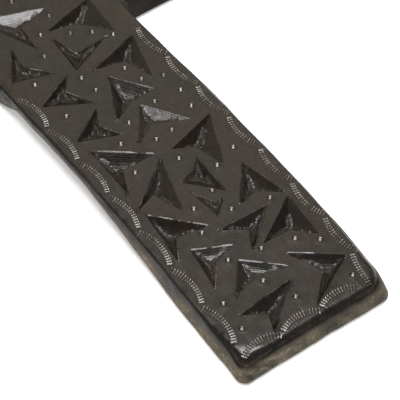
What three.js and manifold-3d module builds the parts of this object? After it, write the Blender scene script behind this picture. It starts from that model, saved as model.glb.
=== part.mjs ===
// Ceramic wall cross: one hand-made slab of burnished black clay, chip-carved on its face.
//
// Frame: millimetres. +Z is up as the cross hangs, the face looks along -Y and the flat back lies in
// the plane y = 0. The origin is the middle of the nail recess's mouth, on the back.
//
// The carving is laid out in a drawing frame: x to the right, y up from the foot and z from the back
// to the face. The last step stands the drawing up and moves the nail recess to the origin.

import * as THREE from 'three';
import { mergeVertices } from 'three/addons/utils/BufferGeometryUtils.js';
import Module from 'manifold-3d';

// Overall sizes
const HEIGHT = 300;
const SPAN = 210;
const ARM_WIDTH = 63.6;
const THICKNESS = 14;
const CROSSBAR_FOOT = 167; // height of the crossbar's lower edge above the foot
const EDGE_RADIUS = 0.9; // rounding between the face and the sides
const FOOT_ROUNDING = 2.8; // the face's edge is this much rounder at the foot
const ROUNDING_REACH = 34; // height at which that has faded
const BACK_EDGE_RADIUS = 2; // rounding between the back and the sides
const CORNER_RADIUS = 4; // rounding of the outline's outer corners
const INNER_RADIUS = 3.5; // rounding of the four inner corners
const SIDE_STEP = 13; // longest straight stretch of the outline
const CORNER_STEPS = 4;
const EDGE_STEPS = 3;

// The hand-made unevenness of the lower arm
const BOW = 1.9; // it leans this far to the right at mid height
const FOOT_SKEW = 0.024; // the foot's edge slopes down to the right
const SKEW_REACH = 80; // height at which that slope has faded
const BACK_SWELL = 10; // how much rounder the back's edge is along the long sides
const SWELL_FOOT = 35; // heights between which that rounding grows to its full size
const SWELL_FULL = 110;
const SWELL_FADE = 20; // the rounding fades over this length below the crossbar
const FOOT_RIGHT_RADIUS = 9; // the foot's right corner is worn round at the face
const FOOT_RIGHT_BACK_RADIUS = 4;
const FOOT_RIGHT_SET_IN = 0.7; // at the face that corner stands this far in
const FOOT_RIGHT_FLARE = 2.9; // and at the back this far out
const WORN_REACH = 7; // the foot's left corner is worn off this far along both edges
const WORN_DEPTH = 2.6;

// Carving sizes
const CUT_CLEARANCE = 1; // how far each cutting shape stands proud of the face
const NOTCH_SLOPE = 0.6; // sideways run of the steep wall at a chip's notch, per depth
const DIMPLE_RADIUS = 1.15;
const DIMPLE_DEPTH = 0.45;
const DIMPLE_SIDES = 6;
const DIMPLE_RINGS = 5;
const SCALLOP_PITCH = 20;
const SCALLOP_RISE = 2.8; // how far a scallop swells in from its two cusps
const SCALLOP_TILT = 0.6; // how far in its last cusp lies, and how far out its first
const SCALLOP_INSET = 1.9; // distance of the row of cusps from the slab's side
const SCALLOP_BAND = 2.2; // width of the ribbed band
const SCALLOP_DEPTH = 0.25;
const SCALLOP_FILLED = 0.92; // share of the way between the cusps that the band fills
const SCALLOP_STEPS = 5;
const CROSSBAR_CUSP = 6; // the crossbar's lower rows start this far out from the arm's

// Hanging
const NAIL_HEIGHT = 262; // height of the nail recess above the foot
const NAIL_RADIUS = 4.5;
const NAIL_DEPTH = 6;
const NAIL_SIDES = 20;

// Plain carving on the parts of the cross that carry less work
const PLAIN_REACH = 11;
const PLAIN_SPREAD = 62; // degrees from the notch's middle line to each of its two tips
const PLAIN_NOTCH = 2.6;
const PLAIN_DEPTH = 3.6;
const PLAIN_TURN = 100; // degrees from one chip to the next
const PLAIN_DOT = 8.5; // distance from a plain chip's middle to its dimple
const PLAIN_STAGGER = 0.2; // sideways shift of every other row, per pitch

const FACE_COLOUR = 0x3b3734;
const FACE_ROUGHNESS = 0.35;

const half = ARM_WIDTH / 2;
const crossbarTop = CROSSBAR_FOOT + ARM_WIDTH;
const cuspSide = half - SCALLOP_INSET;

// The three-pointed chips of the lower arm and the crossing, each [x, y] above the foot.
// a and b are the tips on either side of the notch, c is the tip across from it.
const CHIPS = [
  { a: [6, 182.5], notch: [-8.5, 179], b: [-9, 165], c: [-21, 193], depth: 2.6 },
  { a: [-1, 171], notch: [11, 168], b: [21, 156], c: [22.5, 177], depth: 4 },
  { a: [-1.5, 166], notch: [2, 153.5], b: [16.5, 155], c: [-3, 146.5], depth: 3.5 },
  { a: [-17.5, 171], notch: [-19, 160], b: [-10, 150], c: [-26.5, 156], depth: 3.5 },
  { a: [-7.5, 146.5], notch: [-12.5, 140], b: [-7, 129], c: [-24, 138.5], depth: 3.5 },
  { a: [3, 143], notch: [15.5, 139.5], b: [19.5, 127], c: [25.5, 149.5], depth: 4 },
  { a: [-4.5, 116], notch: [5, 121], b: [16, 121.5], c: [5.5, 137], depth: 4.6 },
  { a: [-3.5, 102.5], notch: [6, 107], b: [18.5, 100.5], c: [7, 118], depth: 2.2 },
  { a: [-7.5, 126], notch: [-11.5, 117.5], b: [-7, 109.5], c: [-22.5, 116], depth: 4 },
  { a: [-2.5, 94.5], notch: [-17, 94.5], b: [-21, 85.5], c: [-21.5, 110], depth: 5.6 },
  { a: [-22.5, 76], notch: [-14, 79], b: [-9.5, 66.5], c: [-2, 91], depth: 4.2 },
  { a: [4, 92.5], notch: [12, 88], b: [15.5, 75.5], c: [26, 98.5], depth: 4.5 },
  { a: [-2, 77], notch: [5, 79.5], b: [9, 83.5], c: [8.5, 65], depth: 3.5 },
  { a: [-2.5, 71.5], notch: [2, 62.5], b: [6, 62.5], c: [-0.5, 57.5], depth: 2.5 },
  { a: [9, 56.5], notch: [17, 58.5], b: [26, 51.5], c: [21.5, 72], depth: 4 },
  { a: [-4, 51.5], notch: [5, 45.5], b: [0, 37], c: [16.5, 50.5], depth: 3.5 },
  { a: [5, 37.5], notch: [16.5, 37], b: [24, 29], c: [25.5, 49.5], depth: 4.5 },
  { a: [-6, 55.5], notch: [-19, 58], b: [-24, 49], c: [-21.5, 72.5], depth: 5.2 },
  { a: [-4, 43.5], notch: [-13.5, 41], b: [-20.5, 32], c: [-17.5, 50.5], depth: 2.9 },
  { a: [-16, 25.5], notch: [-5.5, 27.5], b: [6.5, 24.5], c: [-6.5, 37], depth: 2.8 },
  { a: [-20, 18], notch: [-11.5, 12.5], b: [-14.5, 5.5], c: [4.5, 19.5], depth: 4 },
  { a: [9, 29.5], notch: [15, 15.5], b: [3.5, 5], c: [26, 16.5], depth: 4.5 },
];

// The pressed dimples of the lower arm and the crossing, row by row from the top
const DIMPLES = [
  [-3.5, 193], [4.5, 177.5], [-4, 170.5], [-9, 160], [6, 164.5], [13.5, 160], [19.5, 154],
  [-20, 149.5], [-3.5, 142], [-2.5, 133.5], [13, 136.5], [-19, 129], [15, 128], [23, 124.5],
  [12.5, 115.5], [-1.5, 112.5], [-10, 105.5], [24, 114.5], [22.5, 105.5], [2, 99.5], [9.5, 100],
  [-13.5, 91], [3.5, 87], [23, 79.5], [13, 76], [4.5, 67.5], [-6, 64.5], [5, 56.5], [19.5, 52.5],
  [-10, 54], [-9.5, 39], [3, 36], [15.5, 32.5], [22.5, 27], [-5, 24.5], [-22, 25], [-23, 13],
  [0, 12.5], [22, 8],
];

// Fields of plain chips: middle, count and pitch along x and y, and the first chip's turn in degrees
const PLAIN_FIELDS = [
  { x: -69, y: 199, columns: 3, rows: 3, pitchX: 21, pitchY: 17.5, turn: 20 },
  { x: 70, y: 199, columns: 3, rows: 3, pitchX: 21, pitchY: 17.5, turn: 150 },
  { x: 0, y: 264, columns: 3, rows: 3, pitchX: 17.5, pitchY: 20, turn: 80 },
  { x: 3, y: 215, columns: 3, rows: 1, pitchX: 21, pitchY: 0, turn: 200 },
  { x: 30, y: 195, columns: 1, rows: 1, pitchX: 0, pitchY: 0, turn: 30 },
  { x: -31, y: 182, columns: 1, rows: 1, pitchX: 0, pitchY: 0, turn: 250 },
];

// Rows of scallops laid out by hand on the lower arm, counter-clockwise: first and last cusp, and count
const FOOT_ROW = { from: [-cuspSide, 3], to: [21, 3], count: 3, tilt: -0.6, rise: SCALLOP_RISE };
const CORNER_ROW = {
  from: [cuspSide - 5.5, 0.6],
  to: [cuspSide - 2.5, 16],
  count: 1,
  tilt: 0,
  rise: 0.8,
};
const RIGHT_ROW = { from: [cuspSide, 14.5], to: [cuspSide, 152.5], count: 7 };
const LEFT_ROW = { from: [-cuspSide, 148], to: [-cuspSide, 9], count: 7 };

const wasm = await Module();
wasm.setup();

function toSolid(geometry) {
  const plain = geometry.clone();
  plain.deleteAttribute('normal');
  plain.deleteAttribute('uv');
  const merged = mergeVertices(plain, 1e-4);
  const vertProperties = new Float32Array(merged.attributes.position.array);
  const triVerts = new Uint32Array(merged.index.array);
  return new wasm.Manifold(new wasm.Mesh({ numProp: 3, vertProperties, triVerts }));
}

function indexedGeometry(points, indices) {
  const geometry = new THREE.BufferGeometry();
  const positions = points.flatMap((point) => point.toArray());
  geometry.setAttribute('position', new THREE.Float32BufferAttribute(positions, 3));
  geometry.setIndex(indices);
  return geometry;
}

function toGeometry(solid) {
  const mesh = solid.getMesh();
  const geometry = new THREE.BufferGeometry();
  geometry.setAttribute('position', new THREE.BufferAttribute(mesh.vertProperties, 3));
  geometry.setIndex(new THREE.BufferAttribute(mesh.triVerts, 1));
  return geometry;
}

function toPoint([x, y]) {
  return new THREE.Vector2(x, y);
}

function polar(centre, reach, degrees) {
  const angle = THREE.MathUtils.degToRad(degrees);
  return centre.clone().add(new THREE.Vector2(Math.cos(angle), Math.sin(angle)).multiplyScalar(reach));
}

function leftOf(heading) {
  return new THREE.Vector2(-heading.y, heading.x).normalize();
}

// How far the lower arm leans to the right at a height above the foot
function lean(y) {
  return y < CROSSBAR_FOOT ? BOW * Math.sin((Math.PI * y) / CROSSBAR_FOOT) : 0;
}

function handMade({ x, y }) {
  const skew = FOOT_SKEW * x * THREE.MathUtils.clamp(1 - y / SKEW_REACH, 0, 1);
  return new THREE.Vector2(x + lean(y), y - skew);
}

// The rounding of the face's edge at a height above the foot
function faceRadius(y) {
  return EDGE_RADIUS + FOOT_ROUNDING * (1 - THREE.MathUtils.smoothstep(y, 0, ROUNDING_REACH));
}

// The rounding of the back's edge at a height above the foot
function backRadius(y) {
  const grown = THREE.MathUtils.smoothstep(y, SWELL_FOOT, SWELL_FULL);
  const faded = THREE.MathUtils.smoothstep(y, CROSSBAR_FOOT - SWELL_FADE, CROSSBAR_FOOT);
  return BACK_EDGE_RADIUS + BACK_SWELL * grown * (1 - faded);
}

// The twelve corners of the cross, counter-clockwise from the foot's left corner.
// level is 1 at the face and 0 at the back.
function crossCorners(level) {
  const { lerp } = THREE.MathUtils;
  const reach = SPAN / 2;
  const footRight = half + lerp(FOOT_RIGHT_FLARE, -FOOT_RIGHT_SET_IN, level);
  return [
    [-half, 0, CORNER_RADIUS],
    [footRight, 0, lerp(FOOT_RIGHT_BACK_RADIUS, FOOT_RIGHT_RADIUS, level)],
    [half, CROSSBAR_FOOT, INNER_RADIUS],
    [reach, CROSSBAR_FOOT, CORNER_RADIUS],
    [reach, crossbarTop, CORNER_RADIUS],
    [half, crossbarTop, INNER_RADIUS],
    [half, HEIGHT, CORNER_RADIUS],
    [-half, HEIGHT, CORNER_RADIUS],
    [-half, crossbarTop, INNER_RADIUS],
    [-reach, crossbarTop, CORNER_RADIUS],
    [-reach, CROSSBAR_FOOT, CORNER_RADIUS],
    [-half, CROSSBAR_FOOT, INNER_RADIUS],
  ].map(([x, y, radius]) => ({ point: new THREE.Vector2(x, y), radius }));
}

// The arc that rounds one right-angled corner, between its two tangent points
function cornerArc(before, corner, after) {
  const intoCorner = corner.point.clone().sub(before.point).normalize();
  const outOfCorner = after.point.clone().sub(corner.point).normalize();
  const start = corner.point.clone().addScaledVector(intoCorner, -corner.radius);
  const centre = start.clone().addScaledVector(outOfCorner, corner.radius);
  const spots = [];
  for (let step = 0; step <= CORNER_STEPS; step += 1) {
    const angle = (step / CORNER_STEPS) * (Math.PI / 2);
    const arm = outOfCorner.clone().multiplyScalar(-Math.cos(angle));
    arm.addScaledVector(intoCorner, Math.sin(angle));
    const heading = intoCorner.clone().multiplyScalar(Math.cos(angle));
    heading.addScaledVector(outOfCorner, Math.sin(angle));
    const point = centre.clone().addScaledVector(arm, corner.radius);
    spots.push({ point, inward: leftOf(heading) });
  }
  return spots;
}

// The outline at one level, as points that each know their way inward. Its long sides are broken into
// steps, as many at every level, so that they can follow the lean.
function outlineSpots(level) {
  const plan = crossCorners(1);
  const corners = crossCorners(level);
  const count = corners.length;
  const arcs = corners.map((corner, index) => {
    const before = corners[(index + count - 1) % count];
    const after = corners[(index + 1) % count];
    return cornerArc(before, corner, after);
  });
  const spots = [];
  arcs.forEach((arc, index) => {
    const next = (index + 1) % count;
    const start = arc.at(-1).point;
    const end = arcs[next][0].point;
    const inward = leftOf(end.clone().sub(start));
    const steps = Math.ceil(plan[index].point.distanceTo(plan[next].point) / SIDE_STEP);
    spots.push(...arc);
    for (let step = 1; step < steps; step += 1) {
      spots.push({ point: start.clone().lerp(end, step / steps), inward });
    }
  });
  return spots;
}

// One loop round the slab. inset and height give, for a height above the foot, how far inward and how
// high above the back the loop runs there.
function slabLoop(level, inset, height) {
  return outlineSpots(level).map(({ point, inward }) => {
    const moved = handMade(point.clone().addScaledVector(inward, inset(point.y)));
    return new THREE.Vector3(moved.x, moved.y, height(point.y));
  });
}

// The loops from the face's edge, round the side, to the back's edge
function slabLoops() {
  const turns = [];
  for (let step = 0; step <= EDGE_STEPS; step += 1) {
    turns.push((step / EDGE_STEPS) * (Math.PI / 2));
  }
  const faceLoops = turns.map((turn) =>
    slabLoop(
      1,
      (y) => faceRadius(y) * (1 - Math.sin(turn)),
      (y) => THICKNESS - faceRadius(y) * (1 - Math.cos(turn)),
    ),
  );
  const backLoops = turns.map((turn) =>
    slabLoop(
      0,
      (y) => backRadius(y) * (1 - Math.cos(turn)),
      (y) => backRadius(y) * (1 - Math.sin(turn)),
    ),
  );
  return [...faceLoops, ...backLoops];
}

function slab() {
  const loops = slabLoops();
  const count = loops[0].length;
  const indices = [];
  for (let upper = 0; upper < (loops.length - 1) * count; upper += count) {
    const lower = upper + count;
    for (let index = 0; index < count; index += 1) {
      const next = (index + 1) % count;
      indices.push(upper + index, lower + index, lower + next);
      indices.push(upper + index, lower + next, upper + next);
    }
  }
  const last = (loops.length - 1) * count;
  for (const [a, b, c] of THREE.ShapeUtils.triangulateShape(loops[0], [])) {
    indices.push(a, b, c);
  }
  for (const [a, b, c] of THREE.ShapeUtils.triangulateShape(loops.at(-1), [])) {
    indices.push(last + a, last + c, last + b);
  }
  return toSolid(indexedGeometry(loops.flat(), indices));
}

// A closed wedge: its outline at the face runs down to one deep point
function wedge(outline, deep) {
  if (THREE.ShapeUtils.area(outline) < 0) {
    outline.reverse();
  }
  const lift = (z) => outline.map(({ x, y }) => new THREE.Vector3(x, y, z));
  const points = [...lift(THICKNESS + CUT_CLEARANCE), ...lift(THICKNESS), deep];
  const count = outline.length;
  const indices = THREE.ShapeUtils.triangulateShape(outline, []).flat();
  for (let index = 0; index < count; index += 1) {
    const next = (index + 1) % count;
    indices.push(index, index + count, next);
    indices.push(next, index + count, next + count);
    indices.push(index + count, 2 * count, next + count);
  }
  return toSolid(indexedGeometry(points, indices));
}

function chipCutter({ a, notch, b, c, depth }) {
  const outline = [a, notch, b, c].map(toPoint);
  const inward = toPoint(c).sub(toPoint(notch)).normalize();
  const deep = toPoint(notch).addScaledVector(inward, NOTCH_SLOPE * depth);
  return wedge(outline, new THREE.Vector3(deep.x, deep.y, THICKNESS - depth));
}

// The wear of the foot's left corner, a slope that falls towards the corner
function wornCornerCutter() {
  const out = CUT_CLEARANCE;
  const [x, y] = [-half - out, -out];
  const run = WORN_REACH + 2 * out;
  const depth = (WORN_DEPTH * run) / WORN_REACH;
  const outline = [[x, y], [x + run, y], [x, y + run]].map(toPoint);
  return wedge(outline, new THREE.Vector3(x, y, THICKNESS - depth));
}

function dimpleCutter([x, y]) {
  const ballRadius = (DIMPLE_RADIUS ** 2 + DIMPLE_DEPTH ** 2) / (2 * DIMPLE_DEPTH);
  const geometry = new THREE.SphereGeometry(ballRadius, DIMPLE_SIDES, DIMPLE_RINGS);
  geometry.rotateX(Math.PI / 2);
  geometry.translate(x, y, THICKNESS - DIMPLE_DEPTH + ballRadius);
  return toSolid(geometry);
}

// One scallop: a curved band from cusp to cusp that swells to the left of the way it runs
function scallopCutter({ start, end, rise }) {
  const chord = end.clone().sub(start);
  const along = chord.clone().normalize();
  const inward = leftOf(along);
  const radius = ((chord.length() / 2) ** 2 + rise ** 2) / (2 * rise);
  const sweep = SCALLOP_FILLED * Math.asin(chord.length() / 2 / radius);
  const centre = start.clone().add(end).multiplyScalar(0.5).addScaledVector(inward, rise - radius);
  const arcPoint = (share, offset) => {
    const angle = sweep * (2 * share - 1);
    const arm = inward.clone().multiplyScalar(Math.cos(angle)).addScaledVector(along, Math.sin(angle));
    return centre.clone().addScaledVector(arm, radius + offset);
  };
  const outer = [];
  const inner = [];
  for (let step = 0; step <= SCALLOP_STEPS; step += 1) {
    const share = step / SCALLOP_STEPS;
    outer.push(arcPoint(share, SCALLOP_BAND / 2));
    inner.unshift(arcPoint(share, -SCALLOP_BAND / 2));
  }
  const geometry = new THREE.ExtrudeGeometry(new THREE.Shape([...outer, ...inner]), {
    depth: SCALLOP_DEPTH + CUT_CLEARANCE,
    steps: 1,
    bevelEnabled: false,
  });
  return toSolid(geometry.translate(0, 0, THICKNESS - SCALLOP_DEPTH));
}

// The scallops of one row, whose cusps are evenly spaced and follow the lean
function rowScallops({ from, to, count, tilt = SCALLOP_TILT, rise = SCALLOP_RISE }) {
  const inward = leftOf(toPoint(to).sub(toPoint(from)));
  const cusp = (step) => {
    const { x, y } = toPoint(from).lerp(toPoint(to), step / count);
    return new THREE.Vector2(x + lean(y), y);
  };
  const scallops = [];
  for (let step = 0; step < count; step += 1) {
    scallops.push({
      start: cusp(step).addScaledVector(inward, -tilt),
      end: cusp(step + 1).addScaledVector(inward, tilt),
      rise,
    });
  }
  return scallops;
}

// A row with as many scallops as fit between its ends
function fittedRow(from, to) {
  return { from, to, count: Math.round(toPoint(from).distanceTo(toPoint(to)) / SCALLOP_PITCH) };
}

// The rows run counter-clockwise inside the outline, so that each scallop swells inward
function allScallops() {
  const reach = SPAN / 2 - SCALLOP_INSET;
  const low = CROSSBAR_FOOT + SCALLOP_INSET;
  const high = crossbarTop - SCALLOP_INSET;
  const top = HEIGHT - SCALLOP_INSET;
  const rows = [
    FOOT_ROW,
    CORNER_ROW,
    RIGHT_ROW,
    fittedRow([cuspSide + CROSSBAR_CUSP, low], [reach, low]),
    fittedRow([reach, low], [reach, high]),
    fittedRow([reach, high], [cuspSide, high]),
    fittedRow([cuspSide, high], [cuspSide, top]),
    fittedRow([cuspSide, top], [-cuspSide, top]),
    fittedRow([-cuspSide, top], [-cuspSide, high]),
    fittedRow([-cuspSide, high], [-reach, high]),
    fittedRow([-reach, high], [-reach, low]),
    fittedRow([-reach, low], [-cuspSide, low]),
    LEFT_ROW,
  ];
  return rows.flatMap(rowScallops);
}

// A regular chip around a middle point, its notch opening towards the given turn
function plainChip(middle, turn) {
  const corner = (reach, degrees) => polar(middle, reach, degrees).toArray();
  return {
    a: corner(PLAIN_REACH, turn + PLAIN_SPREAD),
    notch: corner(PLAIN_NOTCH, turn),
    b: corner(PLAIN_REACH, turn - PLAIN_SPREAD),
    c: corner(PLAIN_REACH, turn + 180),
    depth: PLAIN_DEPTH,
  };
}

// Plain chips on a staggered grid, each with one dimple in the mouth of its notch
function plainCarving() {
  const chips = [];
  const dimples = [];
  for (const field of PLAIN_FIELDS) {
    let turn = field.turn;
    for (let row = 0; row < field.rows; row += 1) {
      for (let column = 0; column < field.columns; column += 1) {
        const side = (row % 2 ? 1 : -1) * Math.sign(field.rows - 1);
        const shift = column - (field.columns - 1) / 2 + side * PLAIN_STAGGER;
        const x = field.x + shift * field.pitchX;
        const y = field.y + (row - (field.rows - 1) / 2) * field.pitchY;
        const middle = new THREE.Vector2(x, y);
        chips.push(plainChip(middle, turn));
        dimples.push(polar(middle, PLAIN_DOT, turn).toArray());
        turn += PLAIN_TURN;
      }
    }
  }
  return { chips, dimples };
}

function nailCutter() {
  const geometry = new THREE.CylinderGeometry(
    NAIL_RADIUS,
    NAIL_RADIUS,
    NAIL_DEPTH + CUT_CLEARANCE,
    NAIL_SIDES,
  );
  geometry.rotateX(Math.PI / 2);
  geometry.translate(0, NAIL_HEIGHT, (NAIL_DEPTH - CUT_CLEARANCE) / 2);
  return toSolid(geometry);
}

function carvedSlab() {
  const plain = plainCarving();
  const cutters = [
    ...[...CHIPS, ...plain.chips].map(chipCutter),
    ...[...DIMPLES, ...plain.dimples].map(dimpleCutter),
    ...allScallops().map(scallopCutter),
    wornCornerCutter(),
    nailCutter(),
  ];
  return cutters.reduce((solid, cutter) => solid.subtract(cutter), slab());
}

function crossBody() {
  const geometry = toGeometry(carvedSlab());
  geometry.rotateX(Math.PI / 2);
  geometry.translate(0, 0, -NAIL_HEIGHT);
  const material = new THREE.MeshStandardMaterial({
    color: FACE_COLOUR,
    roughness: FACE_ROUGHNESS,
    metalness: 0,
  });
  const mesh = new THREE.Mesh(geometry, material);
  mesh.name = 'cross_body';
  return mesh;
}

const wallCross = new THREE.Group();
wallCross.add(crossBody());

export default wallCross;
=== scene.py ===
"""A wall cross of burnished black clay, carved with three-pointed chips, dimples and ribbed scallops.

The carving is laid out in a drawing frame in millimetres: x to the right, y up from the foot and z out
of the back towards the face. `to_scene` turns a drawn point into the scene's metres, upright as the
cross hangs, with its flat back in the plane y = 0 and the nail recess at the origin.
"""

import logging
import math
import random
from collections.abc import Iterable, Sequence
from dataclasses import dataclass, field
from enum import Enum

import bmesh
import bpy
import numpy as np
from mathutils import Matrix, Vector, kdtree, noise
from mathutils.geometry import delaunay_2d_cdt

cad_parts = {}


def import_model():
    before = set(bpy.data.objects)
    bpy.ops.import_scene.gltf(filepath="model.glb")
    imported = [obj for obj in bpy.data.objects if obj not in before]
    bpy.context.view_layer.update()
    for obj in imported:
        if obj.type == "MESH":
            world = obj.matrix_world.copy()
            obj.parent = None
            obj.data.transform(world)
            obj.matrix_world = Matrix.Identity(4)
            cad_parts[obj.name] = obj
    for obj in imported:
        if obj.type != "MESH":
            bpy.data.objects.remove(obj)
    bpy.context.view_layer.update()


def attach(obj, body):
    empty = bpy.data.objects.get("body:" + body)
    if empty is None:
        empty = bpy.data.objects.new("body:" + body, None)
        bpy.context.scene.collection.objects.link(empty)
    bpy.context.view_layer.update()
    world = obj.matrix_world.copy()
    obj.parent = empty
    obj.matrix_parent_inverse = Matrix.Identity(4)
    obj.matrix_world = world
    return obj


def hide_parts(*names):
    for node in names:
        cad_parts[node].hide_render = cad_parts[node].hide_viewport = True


LOG = logging.getLogger("wall_cross")

MM = 0.001
NAIL_HEIGHT = 262.0
BODY = "root"
CAD_NODE = "cross_body"


def to_scene(points: np.ndarray) -> np.ndarray:
    """Turn drawn points into the scene's metres.

    Args:
        points: Rows of x, y, z in the drawing frame, in millimetres.

    Returns:
        Rows of x, y, z in the scene, in metres.
    """
    x, y, z = points[:, 0], points[:, 1], points[:, 2]
    return np.stack([x, -z, y - NAIL_HEIGHT], axis=1) * MM


def circle(turns: np.ndarray) -> np.ndarray:
    """Return the points at the given turns of a circle of radius one."""
    return np.stack([np.cos(turns), np.sin(turns)], axis=1)


def onward(loop: list[int]) -> list[int]:
    """Return a loop's point numbers moved on by one."""
    return loop[1:] + loop[:1]


def unit(vector: np.ndarray) -> np.ndarray:
    """Return the vector at length one."""
    return vector / np.linalg.norm(vector)


def fade(value: np.ndarray) -> np.ndarray:
    """Return a smooth step of a value held between 0 and 1."""
    share = np.clip(value, 0.0, 1.0)
    return share * share * (3.0 - 2.0 * share)


def clay_noise(points: np.ndarray, wavelength: float, seed: float) -> np.ndarray:
    """Sample smooth noise over drawn points.

    Args:
        points: Rows of x, y in the drawing frame.
        wavelength: Typical distance between two lumps, in millimetres.
        seed: Height of the slice through the noise, a different one for each use.

    Returns:
        One value from about -1 to 1 for each point.
    """
    scale = 1.0 / wavelength
    return np.array([noise.noise(Vector((x * scale, y * scale, seed))) for x, y in points[:, :2]])


def hand_wave(
    along: np.ndarray, across: np.ndarray, lengths: tuple[float, float, float], phase: float
) -> np.ndarray:
    """Sum a slow wave and a quicker, weaker one.

    Args:
        along: Places along the edge that waves.
        across: Places across it, which shift the quicker wave.
        lengths: Lengths of the slow wave, the quick wave and the shift.
        phase: Start of the slow wave.

    Returns:
        One value from -1.6 to 1.6 for each place.
    """
    slow, quick, shift = lengths
    return np.sin(along / slow + phase) + 0.6 * np.sin(along / quick + across / shift)


class Finish(Enum):
    """The five finishes on the clay, numbered as the skin's faces are."""

    BURNISHED = 0
    CUT = 1
    NOTCH = 2
    SIDE = 3
    BACK = 4


CLAY_INPUTS = ("Burnished clay", "Cut clay", "Notch clay", "Side clay", "Back clay")


class Mark(Enum):
    """The two kinds of mark that are pressed into the face."""

    RIB = "rib"
    DIMPLE = "dimple"


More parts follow.
